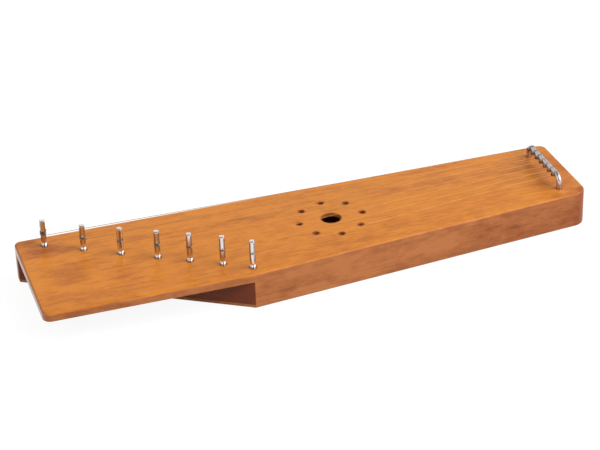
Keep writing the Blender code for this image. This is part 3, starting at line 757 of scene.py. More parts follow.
def half_across(metal, i, height):
    """Half the width across the flats of a pin at a height: it narrows evenly from where the flats begin."""
    radius = metal.pin_diameter / 2
    share = (height - metal.flats_start) / (metal.pin_heights[i] - metal.flats_start)
    return radius + (metal.pin_top / 2 - radius) * share


def corner_reach(metal, height):
    """How far a pin reaches over its corners: its radius, and more where its head is pressed square."""
    radius = metal.pin_diameter / 2
    return radius + (metal.pin_corner / 2 - radius) * smooth((height - metal.flats_start) / CORNER_RISE)


def from_flat(turn):
    """A turn about a pin, from the middle of the nearest flat: an eighth of a turn at most either way."""
    return np.mod(turn + np.pi / 4, QUARTER_TURN) - np.pi / 4


def pin_grid(metal, i):
    """The outside of a pin about its own axis, as a grid of height by turn, and the rings of its pane.

    The reach is the lesser of the round and the flats: half the width across flats over the cosine of the
    turn from the middle of a flat. The columns follow the edges of the flats, whose half width in turn is
    the arc cosine of half across flats over the radius. The thread takes off half its depth times one less
    the cosine of the height in pitches less the turn.
    """
    thread = np.arange(-metal.pin_below + TIP_HEIGHT, metal.thread_end, metal.thread_pitch / THREAD_RINGS)
    pane = metal.hole_heights[i] + HALF_PANE * np.linspace(-1, 1, PANE_RINGS)
    plain = np.linspace(metal.thread_end, pane[0], PLAIN_RINGS)[:-1]
    head = np.linspace(pane[-1], metal.pin_heights[i] - metal.cap_ease, HEAD_RINGS)[1:]
    height = np.concatenate([thread, plain, pane, head])[:, None]
    first = len(thread) + len(plain)

    along_flat = np.arange(FLAT_STEPS) / FLAT_STEPS
    along_round = np.arange(ROUND_STEPS) / ROUND_STEPS
    of_edge = np.concatenate([2 * along_flat - 1, 1 - 2 * along_round])
    of_quarter = np.concatenate([0 * along_flat, along_round]) * QUARTER_TURN
    across = half_across(metal, i, height)
    corner = corner_reach(metal, height)
    edge_turn = np.maximum(np.arccos(np.clip(across / corner, -1, 1)), LEAST_FLAT)
    turn = np.concatenate([edge_turn * of_edge + of_quarter + k * QUARTER_TURN for k in range(4)], 1)
    flats = across / np.cos(from_flat(turn))
    wave = 0.5 - 0.5 * np.cos(FULL_TURN * height / metal.thread_pitch - turn)
    fade = smooth((metal.thread_end - height) / (2 * metal.thread_pitch))
    reach = np.minimum(corner - metal.thread_depth * wave * fade, flats)
    return polar(reach, turn, height), slice(first, first + PANE_RINGS)


def pin_patches(metal, i):
    """One tuning pin about its own axis: its outside, its ends and the cross hole along X."""
    points, rows = pin_grid(metal, i)
    columns = points.shape[1]
    outside, faces = grid(points)
    faces = faces.reshape(-1, columns, 4)
    gone = np.zeros(faces.shape[:2], bool)
    for first in (0, columns // 2):
        gone[rows.start:rows.stop - 1, first:first + FLAT_STEPS] = True
    patches = [(outside, faces[~gone])]

    # the flat round the cross hole: its own rim drawn in to the circle, then the bore to the far side
    pane = points[rows, :FLAT_STEPS + 1]
    rim = np.concatenate([pane[0, :-1], pane[:-1, -1], pane[-1, :0:-1], pane[:0:-1, 0]])
    middle, hole = metal.hole_heights[i], metal.cross_hole / 2
    turn = np.arctan2(rim[:, 2] - middle, rim[:, 1])
    share = np.linspace(0, 1, 5)[:, None]
    y = rim[:, 1] * (1 - share) + hole * np.cos(turn) * share
    z = rim[:, 2] * (1 - share) + (middle + hole * np.sin(turn)) * share
    face = np.stack([half_across(metal, i, z), y, z], 2)
    patches.append(grid(np.concatenate([face, (face * np.array([-1, 1, 1]))[::-1]])))

    # the tapered tip in the wood and the slightly domed top
    low, high = points[0], points[-1]
    tip = low * np.array([TIP_SHARE, TIP_SHARE, 1.0]) - UP * TIP_HEIGHT
    patches += [grid(np.stack([tip, low])), fan(tip, (0, 0, tip[0, 2]))]
    slope = np.linspace(0, QUARTER_TURN, 5)[:, None, None]
    wide = 1 - CAP_DRAW * (1 - np.cos(slope))
    rise = UP * metal.cap_ease * np.sin(slope)
    crown = high * np.concatenate([wide, wide, np.ones_like(wide)], 2) + rise
    inner = crown[-1] * np.array([CAP_MIDDLE, CAP_MIDDLE, 1.0])
    patches += [grid(crown), grid(np.stack([crown[-1], inner])), fan(inner, (0, 0, crown[-1, 0, 2]))]
    return patches


def mark_oxide_and_dark_reflection(mesh, metal, i):
    """Write where a pin is darkened: oxide with painted dark reflection on its corners, painted dark
    reflection on its cap, and its foot.

    Round the pin it is 0 up to two thirds of the way from the middle of a flat to its edge and 1 from the
    edge on, and it sets in above the start of the flats. At the top it peaks half way up the eased edge of
    the cap, as a painted dark reflection. At the foot it fades out a little above the wood.
    """
    points = points_of(mesh) - PIN_FEET[i]
    swing = np.abs(from_flat(np.arctan2(points[:, 1], points[:, 0]) - metal.pin_turns[i]))
    height, top = points[:, 2], metal.pin_heights[i]
    edge_turn = np.arccos(np.clip(half_across(metal, i, height) / corner_reach(metal, height), -1, 0.999))
    # oxide and painted dark reflection on the corners
    corner = CORNER_OXIDE_AND_REFLECTION * smooth((swing / edge_turn - 2 / 3) * 3)
    corner *= smooth((height - metal.flats_start) / CORNER_DARK_RISE) * (height < top - 1.01 * metal.cap_ease)
    # painted dark reflection on the rim of the cap
    cap = smooth(3 - 6 * np.abs((height - top) / metal.cap_ease + 0.5))
    # darker just above the wood
    foot = 1 - smooth((height - FOOT_DARK_END) / FOOT_DARK_FADE)
    write_mask(mesh, "oxide", np.maximum(np.maximum(corner, cap), foot))


class GUSLI_OT_pins(bpy.types.Operator):
    """Build the seven tuning pins"""

    bl_idname = "gusli.pins"
    bl_label = "Tuning pins"

    def execute(self, context):
        metal = context.scene.gusli_metal
        for i, foot in enumerate(PIN_FEET):
            patches = pin_patches(metal, i)
            placed = [(turned_to(points, metal.pin_turns[i], foot), faces) for points, faces in patches]
            pin = weld(f"pin_{i + 1}", placed, "pin_steel", PIN_SHARP)
            mark_oxide_and_dark_reflection(pin.data, metal, i)
            dress(pin, f"tuning_pin_{i + 1}", f"pin_{i + 1}")
        return {"FINISHED"}


def string_diameter(metal, i):
    """The diameter of a string, thinner step by step from the rear."""
    share = i / (STRING_COUNT - 1)
    return metal.longest_string + (metal.shortest_string - metal.longest_string) * share


def wound_reach(metal, i, turn, height):
    """How far the middle of a wire lies from the pin's axis when it is pulled tight round it.

    It is the lesser of the round plus half the wire, and the flat plus half the wire over the cosine of the
    turn from the middle of the flat.
    """
    half = string_diameter(metal, i) / 2
    flats = (half_across(metal, i, height) + half) / np.cos(from_flat(turn - metal.pin_turns[i]))
    return np.minimum(corner_reach(metal, height) + half, flats)


def run_height(metal, i):
    """The height at which a string leaves its pin, one turn's gap under the CAD winding."""
    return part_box(f"string_winding_{i + 1}")[0].z - TURN_GAP - string_diameter(metal, i) / 2


def loop_reach(metal, i):
    """How far the middle of the wire lies from the pin's axis where it clears the pin's corners."""
    return corner_reach(metal, run_height(metal, i) - TOP) + string_diameter(metal, i) / 2 + LOOP_ROOM


def string_line(metal, i):
    """The straight run of a string in plan: its start at the bar, its direction and its turn at the pin.

    The line touches the circle of the tight wire round the pin, so it leaves the way to the pin's axis by
    the arc sine of the wire's reach over the distance.
    """
    x, rear, front = bar_legs(metal)
    pitch = (rear - front - 2 * metal.bar_bend) / (STRING_COUNT - 1)
    start = np.array([x, rear - metal.bar_bend - pitch * i])
    way = PIN_FEET[i, :2] - start
    distance = np.linalg.norm(way)
    reach = loop_reach(metal, i)
    lean = math.asin(reach / distance)
    c, s = math.cos(lean), math.sin(lean)
    direction = np.array([way[0] * c - way[1] * s, way[0] * s + way[1] * c]) / distance
    touch = start + direction * math.sqrt(distance ** 2 - reach ** 2) - PIN_FEET[i, :2]
    return start, direction, math.atan2(touch[1], touch[0])


def winding_plan(metal, i):
    """The turn at the cross hole, the turn from there to the lower end, the first drop and the even fall.

    The wire drops under the hole at once and is then wound close, a little over its diameter a turn, down to
    just above the level of the string's own last turn, which it clears when the pin is turned. The even fall
    is what it falls in a radian.
    """
    diameter = string_diameter(metal, i)
    start = metal.pin_turns[i] + np.pi
    high = metal.hole_heights[i]
    low = run_height(metal, i) - TOP + WIRES_CLEAR * diameter
    drop = min(FIRST_DROP, FIRST_DROP_SHARE * (high - low))
    fall = high - drop - low
    short = (string_line(metal, i)[2] - LAST_TURN - start) % FULL_TURN
    wanted = fall / (WIRES_A_TURN * diameter) * FULL_TURN
    whole = short + FULL_TURN * max(0.0, np.floor((wanted - short) / FULL_TURN))
    return start, whole, drop, fall / whole


def winding_path(metal, i):
    """The turns of a string on its pin: its cut end, through the cross hole, out and down.

    In the hole the wire is straight; a quarter of a round bend takes it out to the pin's surface.
    """
    start, whole, drop, fall = winding_plan(metal, i)
    middle = metal.hole_heights[i]
    share = np.linspace(0, 1, OUT_POINTS)[1:]
    turn = np.concatenate([BEND_OUT * share ** 4, np.arange(BEND_OUT, whole, WINDING_STEP)[1:], [whole]])
    out = np.sqrt(1 - (1 - share ** 2) ** 2)
    out = np.concatenate([out, np.ones(len(turn) - len(out))])
    height = middle - drop * smooth(turn / DROP_TURN) - fall * turn
    reach = wound_reach(metal, i, start + turn, height) * out
    end = np.linspace(-(metal.pin_diameter / 2 + metal.wire_ends[i]), 0, HOLE_POINTS)
    turn, height = np.concatenate([0 * end, turn]), np.concatenate([np.full(len(end), middle), height])
    return polar(np.concatenate([end, reach]), start + turn, height) + PIN_FEET[i]


class GUSLI_OT_windings(bpy.types.Operator):
    """Wind the end of each string round its pin"""

    bl_idname = "gusli.windings"
    bl_label = "Windings"

    def execute(self, context):
        metal = context.scene.gusli_metal
        for i in range(STRING_COUNT):
            patch = tube(winding_path(metal, i), string_diameter(metal, i) / 2, UP)
            winding = weld(f"winding_{i + 1}", [patch], "winding_steel", WIRE_SHARP)
            dress(winding, f"string_winding_{i + 1}", f"pin_{i + 1}")
        return {"FINISHED"}


def even_steps(path, step):
    """The same path with its points a step apart, measured along it."""
    length = np.concatenate([[0.0], np.cumsum(np.linalg.norm(np.diff(path, axis=0), axis=1))])
    at = np.linspace(0, length[-1], int(length[-1] / step) + 1)
    return np.stack([np.interp(at, length, column) for column in path.T], 1), at


def noose_path(metal, i):
    """The middle line of a noose: from under the ferrule round the bar and into the string's own line.

    It is a tangent to a circle round the bar, then the circle in the string's upright plane, then a small
    bend the other way into the level line. The circle leaves room for the doubled wire.
    """
    start, direction, _ = string_line(metal, i)
    diameter = string_diameter(metal, i)
    loop, bend = metal.bar_diameter / 2 + diameter, metal.noose_bend
    eye = np.array([loop + bend + metal.ball_length / 2, -metal.ball_groove / 2 - diameter])
    meet_turn = math.atan2(eye[1], eye[0]) - math.acos(loop / np.linalg.norm(eye))
    lift = math.asin(bend / (loop + bend))
    turn = np.linspace(FULL_TURN + meet_turn, lift, ROUND_POINTS)
    back = np.linspace(np.pi + lift, 1.5 * np.pi, NOOSE_BEND_POINTS)[1:]
    meet = np.array([(loop + bend) * math.cos(lift), bend])
    along, up = np.concatenate([[eye], arc(loop, turn), meet + arc(bend, back)]).T
    high = BAR_HIGH.z - metal.bar_diameter / 2
    return even_steps(np.column_stack([start + along[:, None] * direction, high + up]), NOOSE_STEP)


def string_path(metal, i):
    """One string from its noose to its last part turn on the pin, its side vectors, and its twisted half.

    The two halves of the noose wind about its middle line, half a wire off it: the side vector times the
    cosine plus the inner normal times the sine of the length over the twist. Then the run is straight, and
    the last part turn is level and as wide as the pin's corners, so that the pin can turn in it.
    """
    _, direction, first = string_line(metal, i)
    noose, length = noose_path(metal, i)
    across = np.array([-direction[1], direction[0], 0.0])
    inner = np.cross(unit(np.gradient(noose, axis=0)), across)
    turn = (FULL_TURN * length / metal.noose_twist)[:, None]
    offset = (across * np.cos(turn) + inner * np.sin(turn)) * string_diameter(metal, i) / 2
    settle = smooth((length[-1] - length) / TWIST_SETTLES)[:, None]
    twin = (noose - offset)[:-TWIN_SHORTER]

    wrap = np.linspace(0, -LAST_TURN - LAST_TURN_OVERLAP, LAST_POINTS)
    last = polar(loop_reach(metal, i), first + wrap, run_height(metal, i)) + PIN_FEET[i] * (1, 1, 0)
    share = np.linspace(0, 1, SPAN_POINTS)[1:-1, None]
    run = noose[-1] + (last[0] - noose[-1]) * share
    roll = np.concatenate([np.zeros(len(noose)), share[:, 0], np.ones(len(last))])[:, None] * QUARTER_TURN
    path = np.concatenate([noose + offset * settle, run, last])
    return path, across * np.cos(roll) + UP * np.sin(roll), twin


def ball_place(metal, i, rings):
    """Rings about Z laid along a string's line at its ferrule, against the noose."""
    start, direction, _ = string_line(metal, i)
    reach = metal.bar_diameter / 2 + string_diameter(metal, i) + metal.noose_bend
    spot = start + direction * (reach + metal.ball_length / 2)
    place = np.array([*spot, BAR_HIGH.z - metal.bar_diameter / 2])
    return grid(turned_to(rings[..., [2, 0, 1]], math.atan2(direction[1], direction[0]), place))


def eye_rings(metal, i):
    """The eye of a string in its ferrule's groove, about Z: a ring of the wire's own round."""
    half = string_diameter(metal, i) / 2
    round_wire = arc(half, -np.linspace(0, FULL_TURN, WIRE_SIDES + 1))
    return turned(round_wire + (metal.ball_groove / 2 + half, 0.0), EYE_SIDES)


def ball_rings(metal):
    """A ferrule about Z: bore, eased rim, groove and rim again, closed through the bore."""
    bore, rim = metal.ball_bore / 2, metal.ball_diameter / 2
    groove, half = metal.ball_groove / 2, metal.ball_length / 2
    ease = FERRULE_EASE
    upper = np.array([
        (bore, half - ease), (bore + ease, half), (rim - ease, half), (rim, half - ease),
        (rim, half * 0.62), (groove + ease, half * 0.40), (groove, half * 0.25)])
    return turned(np.concatenate([upper, (upper * (1, -1))[::-1], upper[:1]]), FERRULE_SIDES)


def dull_noose(mesh):
    """Give the faces round the bar and as far as the ferrule the duller steel of a doubled wire."""
    mesh.materials.append(finish_of("noose_steel"))
    middle = np.empty(3 * len(mesh.polygons))
    mesh.polygons.foreach_get("center", middle)
    mesh.polygons.foreach_set("material_index", (middle[::3] > BAR_LOW.x - DULL_REACH).astype(np.int32))


class GUSLI_OT_strings(bpy.types.Operator):
    """Stretch the seven strings from the bar to their pins"""

    bl_idname = "gusli.strings"
    bl_label = "Strings"

    def execute(self, context):
        metal = context.scene.gusli_metal
        for i in range(STRING_COUNT):
            path, side, twin = string_path(metal, i)
            half = string_diameter(metal, i) / 2
            eye = ball_place(metal, i, eye_rings(metal, i))
            patches = [tube(path, half, side), tube(twin, half, side[0]), eye]
            string = weld(f"string_{i + 1}_wire", patches, "string_steel", WIRE_SHARP)
            dull_noose(string.data)
            dress(string, f"string_{i + 1}")
        return {"FINISHED"}


class GUSLI_OT_balls(bpy.types.Operator):
    """Put a ferrule on the end of each string"""

    bl_idname = "gusli.balls"
    bl_label = "Ball ends"

    def execute(self, context):
        metal = context.scene.gusli_metal
        for i in range(STRING_COUNT):
            patch = ball_place(metal, i, ball_rings(metal))
            ball = weld(f"ball_{i + 1}", [patch], "ferrule_brass", FERRULE_SHARP)
            dress(ball, f"ball_end_{i + 1}")
        return {"FINISHED"}


def connect(tree, sockets, values):
    """Link each value to the socket of its name, or set it there where it isn't another node's output."""
    for key, value in values.items():
        if isinstance(value, bpy.types.NodeSocket):
            tree.links.new(value, sockets[key])
        else:
            sockets[key].default_value = value


def put(tree, kind, inputs=None, **settings):
    """Add a node with its settings and its inputs; returns its outputs."""
    made = tree.nodes.new(kind)
    for key, value in settings.items():
        setattr(made, key, value)
    connect(tree, made.inputs, inputs or {})
    return made.outputs


def put_group(tree, name, inputs):
    """Place a node group with its own values; returns its outputs."""
    return put(tree, "ShaderNodeGroup", inputs, node_tree=bpy.data.node_groups[name])


VALUE, VECTOR, COLOUR = "NodeSocketFloat", "NodeSocketVector", "NodeSocketColor"


def socket_kind(value):
    """The kind of a group's input by its default: a value, a colour of four parts, or else a vector."""
    if isinstance(value, float):
        return VALUE
    return COLOUR if value and len(value) == 4 else VECTOR


def new_group(name, inputs, outputs):
    """A shader node group with named sockets; returns its tree, what it is given and where its results go."""
    tree = bpy.data.node_groups.new(name, "ShaderNodeTree")
    for label, value in inputs.items():
        kind = socket_kind(value)
        socket = tree.interface.new_socket(label, in_out="INPUT", socket_type=kind)
        if value is not None:
            socket.default_value = value
    for label, kind in outputs.items():
        tree.interface.new_socket(label, in_out="OUTPUT", socket_type=kind)
    return tree, tree.nodes.new("NodeGroupInput").outputs, tree.nodes.new("NodeGroupOutput").inputs


def reckon(tree, operation, first, second=0.0, clamp=False):
    """One step of arithmetic on two values."""
    return put(tree, "ShaderNodeMath", {0: first, 1: second}, operation=operation, use_clamp=clamp)[0]


def reckon_way(tree, operation, first, second=(0.0, 0.0, 0.0)):
    """One step of arithmetic on two vectors; returns the vector and the value that it can give."""
    return put(tree, "ShaderNodeVectorMath", {0: first, 1: second}, operation=operation)


def centred(tree, value, amount):
    """A value less a half, times an amount."""
    return reckon(tree, "MULTIPLY", reckon(tree, "SUBTRACT", value, 0.5), amount)


def stretched_noise(tree, place, scale, detail, roughness):
    """Noise on a place that is scaled by its own amount each way."""
    moved = reckon_way(tree, "MULTIPLY", place, scale)[0]
    return put(tree, "ShaderNodeTexNoise", {
        "Vector": moved, "Scale": 1.0, "Detail": detail, "Roughness": roughness})["Fac"]


def spread(tree, value, low, high):
    """A value taken from the range low to high onto 0 to 1 by an S-curve, and held there."""
    return put(tree, "ShaderNodeMapRange", {"Value": value, "From Min": low, "From Max": high},
               interpolation_type="SMOOTHSTEP")["Result"]


def blend_colour(tree, share, first, second, mode="MIX"):
    """Two colours mixed by a share."""
    return put(tree, "ShaderNodeMix", {0: share, 6: first, 7: second}, data_type="RGBA", blend_type=mode)[2]


def blend_value(tree, share, first, second):
    """Two values mixed by a share."""
    return put(tree, "ShaderNodeMix", {0: share, 2: first, 3: second})[0]


# noise of the grain: scale along the board, across it and through it, detail and roughness
GRAIN_NOISE = {
    "fibre": ((22, 1100, 1100), 3.0, 0.65),
    "line": ((12, 420, 420), 2.0, 0.6),
    "fleck": ((95, 250, 250), 3.0, 0.65),
    "streak": ((11, 80, 60), 4.0, 0.6),
    "cloud": ((26, 60, 50), 3.0, 0.55),
    "pore": ((150, 2300, 2300), 1.0, 0.5),
}
# part of each noise that tells: the range that counts, and its share of Lines or the input that it answers to
FINE_GRAIN = {"fibre": (0.25, 0.75, 0.50), "line": (0.30, 0.70, 0.55), "fleck": (0.32, 0.68, 0.70)}
BROAD_GRAIN = {
    "streak": (0.38, 0.72, "Streaks"), "cloud": (0.36, 0.70, "Clouds"), "pore": (0.60, 0.72, "Pores")}
# the noise by which the grain wanders, and how far it does, in metres
WANDER_NOISE = ((7, 16, 16), 2.0, 0.5)
WANDER = 0.008


def make_grain():
    """The grain group: fine fibres, lines, flecks, long streaks, slow clouds and short pores along X.

    Out of a place in metres, two colours and an extra stain, which carries the spots' painted shade too, it
    gives the colour, a height for the bump and the roughness. The place is first shifted along Y by slow
    noise, so that the grain wanders a little.
    """
    tree, given, result = new_group("grain", {
        "Place": None, "Light": (0.7, 0.3, 0.1, 1), "Dark": (0.4, 0.15, 0.05, 1), "Lines": 1.0,
        "Streaks": 0.4, "Clouds": 0.4, "Pores": 0.3, "Gloss": 0.38, "Stain": 0.0,
    }, {"Color": COLOUR, "Height": VALUE, "Roughness": VALUE})
    wander = centred(tree, stretched_noise(tree, given["Place"], *WANDER_NOISE), WANDER)
    place = reckon_way(tree, "ADD", given["Place"], put(tree, "ShaderNodeCombineXYZ", {1: wander})[0])[0]
    layers = {name: stretched_noise(tree, place, *noise) for name, noise in GRAIN_NOISE.items()}
    tone = given["Stain"]
    for name, (low, high, share) in FINE_GRAIN.items():
        even = centred(tree, spread(tree, layers[name], low, high), share)
        tone = reckon(tree, "ADD", tone, reckon(tree, "MULTIPLY", even, given["Lines"]))
    for name, (low, high, label) in BROAD_GRAIN.items():
        mask = spread(tree, layers[name], low, high)
        tone = reckon(tree, "ADD", tone, reckon(tree, "MULTIPLY", mask, given[label]))
    connect(tree, result, {
        "Color": blend_colour(tree, tone, given["Light"], given["Dark"]),
        "Height": reckon(tree, "SUBTRACT", layers["fibre"], reckon(tree, "MULTIPLY", mask, 0.8)),
        "Roughness": reckon(tree, "ADD", given["Gloss"], reckon(tree, "MULTIPLY", tone, 0.08))})


def make_spot():
    """The spot group: an uneven patch, used both for stain and for painted shade, full at its centre and gone
    beyond its size.

    The distance is the length of the way from the centre, divided by the size each way, plus some noise.
    """
    tree, given, result = new_group("stain_spot", {
        "Place": None, "Centre": (0, 0, 0), "Size": (1, 1, 1), "Amount": 0.3, "Uneven": 1.4,
    }, {"Stain": VALUE})
    way = reckon_way(tree, "SUBTRACT", given["Place"], given["Centre"])[0]
    far = reckon_way(tree, "LENGTH", reckon_way(tree, "DIVIDE", way, given["Size"])[0])["Value"]
    uneven = centred(tree, stretched_noise(tree, given["Place"], (60, 130, 110), 4.0, 0.6), given["Uneven"])
    mask = spread(tree, reckon(tree, "ADD", far, uneven), 1.4, 0.0)
    connect(tree, result, {"Stain": reckon(tree, "MULTIPLY", mask, given["Amount"])})


def make_edges():
    """The edge group: where an edge is rubbed, with a painted highlight, where it is darkened, and the left
    end.

    An eased edge is where the normal's Z is neither near 0 nor near 1. It is rubbed here and there where it
    faces the player, and a highlight is painted there too. Faces and edges that look down are darkened as
    painted shade, and the plate is darkened where its attribute of painted shade and stain says so.
    """
    tree, given, result = new_group(
        "edges", {"Place": None}, {"Rubbed": VALUE, "Thick": VALUE, "Left": VALUE})
    normal = put(tree, "ShaderNodeSeparateXYZ", {0: put(tree, "ShaderNodeNewGeometry")["Normal"]})
    gathered = put(tree, "ShaderNodeAttribute", attribute_name="gathered")["Fac"]
    top = reckon(tree, "MAXIMUM", spread(tree, normal["Z"], 0.80, 0.97), gathered)
    eased = reckon(tree, "SUBTRACT", spread(tree, normal["Z"], 0.08, 0.35), top, True)
    here = spread(tree, stretched_noise(tree, given["Place"], (28, 28, 28), 3.0, 0.6), 0.40, 0.62)
    facing = spread(tree, normal["Y"], -0.20, -0.55)
    connect(tree, result, {
        # rubbed lighter here and there on eased edges facing the player, which also paints their highlight
        "Rubbed": reckon(tree, "MULTIPLY", reckon(tree, "MULTIPLY", eased, here), facing),
        # painted shade on faces and edges that look down, added to the plate's painted shade and stain
        "Thick": reckon(tree, "ADD", gathered, spread(tree, normal["Z"], -0.08, -0.45), True),
        "Left": spread(tree, normal["X"], -0.60, -0.92)})


def make_brushing():
    """The brushing group: fine scratches along Z and slow tarnish, as a colour, a roughness and a height."""
    tree, given, result = new_group("brushing", {
        "Place": None, "Metal": (0.7, 0.7, 0.7, 1), "Tarnish": 0.2, "Gloss": 0.2,
    }, {"Color": COLOUR, "Height": VALUE, "Roughness": VALUE})
    scratch = stretched_noise(tree, given["Place"], (5200, 5200, 380), 2.0, 0.6)
    stain = stretched_noise(tree, given["Place"], (420, 420, 300), 3.0, 0.6)
    mask = reckon(tree, "MULTIPLY", spread(tree, stain, 0.45, 0.75), given["Tarnish"])
    dull = blend_colour(tree, 1.0, given["Metal"], (0.52, 0.46, 0.40, 1), "MULTIPLY")
    rough = reckon(tree, "ADD", given["Gloss"], reckon(tree, "MULTIPLY", scratch, 0.08))
    connect(tree, result, {
        "Color": blend_colour(tree, mask, given["Metal"], dull), "Height": scratch,
        "Roughness": reckon(tree, "ADD", rough, reckon(tree, "MULTIPLY", mask, 0.2))})


def new_finish(name):
    """A material with nothing but its shader; returns the material, its tree and the shader's inputs."""
    made = bpy.data.materials.new(name)
    made.use_nodes = True
    return made, made.node_tree, made.node_tree.nodes["Principled BSDF"].inputs


def grained(tree, where, look, turn, shift, spots):
    """One board's grain in a material, along the board's own way, with its spots of stain and of painted
    shade.
    """
    place = put(tree, "ShaderNodeMapping", {
        "Vector": where, "Location": (shift, shift, shift), "Rotation": (0.0, 0.0, turn)})[0]
    stain = look.get("Stain", 0.0)
    for spot in spots:
        values = dict(zip(("Centre", "Size", "Amount", "Uneven"), spot))
        stain = reckon(tree, "ADD", put_group(tree, "stain_spot", {"Place": where, **values})["Stain"], stain)
    grain = put_group(tree, "grain", {**look, "Place": place, "Stain": stain})
    return [grain[label] for label in ("Color", "Height", "Roughness")]


# the lacquer's own values, the tint and share of painted shade and darker stain, and the tint of rubbed edges
# with their painted highlight
LACQUER = {"Specular IOR Level": 0.22, "Coat Weight": 0.14, "Coat Roughness": 0.34}
SHADE_AND_STAIN_TINT, SHADE_AND_STAIN_SHARE = (0.42, 0.34, 0.40, 1), 0.70
RUB_AND_HIGHLIGHT_TINT = (1.05, 1.07, 1.15, 1)
# share of the dark colour of oxide and painted dark reflection on a pin where its mask is full
OXIDE_AND_REFLECTION_SHARE = 0.75
# depths below the top between which the plate's edge turns from the walls' stain to its own
TOP_STAIN_FROM, TOP_STAIN_FULL = 0.0017, 0.0002


def lacquer(tree, shader, where, colour, height, rough):
    """Satin lacquer over a grain, rubbed thin on the front edges with a painted highlight there, and darkened
    by painted shade and stain.
    """
    edges = put_group(tree, "edges", {"Place": where})
    # painted shade and darker stain
    darker = blend_colour(tree, 1.0, colour, SHADE_AND_STAIN_TINT, "MULTIPLY")
    colour = blend_colour(tree, reckon(tree, "MULTIPLY", edges["Thick"], SHADE_AND_STAIN_SHARE), colour, darker)
    # rubbed edges made lighter, which also paints their highlight
    lighter = blend_colour(tree, 1.0, colour, RUB_AND_HIGHLIGHT_TINT, "MULTIPLY")
    bump = put(tree, "ShaderNodeBump", {"Height": height, "Strength": 0.25, "Distance": 0.0001})[0]
    connect(tree, shader, {
        **LACQUER, "Base Color": blend_colour(tree, edges["Rubbed"], colour, lighter), "Roughness": rough,
        "Normal": bump})
    return edges


def wood_finish(name, look, turn=0.0, shift=0.0, spots=()):
    """A stained and lacquered board with its grain along one plan direction."""
    _, tree, shader = new_finish(name)
    where = put(tree, "ShaderNodeTexCoord")["Object"]
    lacquer(tree, shader, where, *grained(tree, where, look, turn, shift, spots))


def plate_finish(name, top_look, edge_look, turn, shift, spots, edge_spots):
    """The plate's finish: the honey-orange of its top, and the walls' red-brown on its edges and underside.

    The end grain at the left took more lacquer, so its coat is full.
    """
    _, tree, shader = new_finish(name)
    where = put(tree, "ShaderNodeTexCoord")["Object"]
    height = put(tree, "ShaderNodeSeparateXYZ", {0: where})["Z"]
    on_top = spread(tree, height, TOP - TOP_STAIN_FROM, TOP - TOP_STAIN_FULL)
    top = grained(tree, where, top_look, 0.0, 0.0, spots)
    side = grained(tree, where, edge_look, turn, shift, edge_spots)
    colour = blend_colour(tree, on_top, side[0], top[0])
    bump_height, rough = (blend_value(tree, on_top, side[k], top[k]) for k in (1, 2))
    edges = lacquer(tree, shader, where, colour, bump_height, rough)
    connect(tree, shader, {"Coat Weight": blend_value(tree, edges["Left"], LACQUER["Coat Weight"], 1.0)})


def metal_finish(name, colour, tarnish, gloss, oxide=None):
    """Plated or drawn metal with fine scratches, darkened where its attribute of oxide and painted dark
    reflection says so.
    """
    _, tree, shader = new_finish(name)
    brushing = put_group(tree, "brushing", {
        "Place": put(tree, "ShaderNodeTexCoord")["Object"], "Metal": (*colour, 1), "Tarnish": tarnish,
        "Gloss": gloss})
    shown = brushing["Color"]
    if oxide:
        # the dark of oxide and painted dark reflection, by the pin's own attribute
        share = put(tree, "ShaderNodeAttribute", attribute_name="oxide")["Fac"]
        shown = blend_colour(tree, reckon(tree, "MULTIPLY", share, OXIDE_AND_REFLECTION_SHARE), shown, (*oxide, 1))
    bump = put(tree, "ShaderNodeBump", {
        "Height": brushing["Height"], "Strength": 0.15, "Distance": 0.00002})[0]
    connect(tree, shader, {
        "Base Color": shown, "Roughness": brushing["Roughness"], "Normal": bump, "Metallic": 1.0})


def finish_of(name):
    """A finish by its name; raises if the finishes were not made first."""
    found = bpy.data.materials.get("gusli_" + name)
    if found is None:
        raise RuntimeError(f"there is no finish named {name}: run the finishes first")
    return found


# spots of stain and of painted shade: centre, size each way, amount, and how uneven the rim is where it isn't
# the usual
PLATE_SPOTS = (
    ((-0.2330, 0.0395, 0.034), (0.0230, 0.0115, 1.0), 0.85),
    ((-0.2480, 0.0600, 0.034), (0.0180, 0.0090, 1.0), 0.60),
    ((-0.2196, -0.0099, 0.034), (0.0240, 0.0220, 1.0), 0.46),
    ((-0.1778, -0.0243, 0.034), (0.0200, 0.0160, 1.0), 0.24),
    ((-0.1540, 0.0331, 0.034), (0.0180, 0.0050, 1.0), 0.40),
    ((-0.0520, 0.0287, 0.034), (0.0600, 0.0060, 1.0), 0.35),
    ((0.1380, 0.0305, 0.034), (0.1200, 0.0080, 1.0), 0.35),
    # the plate darker towards its tail end
    ((0.2480, 0.0120, 0.034), (0.0450, 0.0800, 1.0), 0.40),
    # painted shade on the plate at the rounded front corner of the tail
    ((0.2535, -0.0300, 0.034), (0.0060, 0.0060, 1.0), 0.90, 0.3),
    # the next two are painted shade: the plate darker towards its front edge, where less light falls
    ((0.0700, -0.0480, 0.034), (0.1700, 0.0300, 1.0), 0.22, 0.8),
    ((-0.2280, -0.0600, 0.034), (0.0700, 0.0250, 1.0), 0.22, 0.8),
)
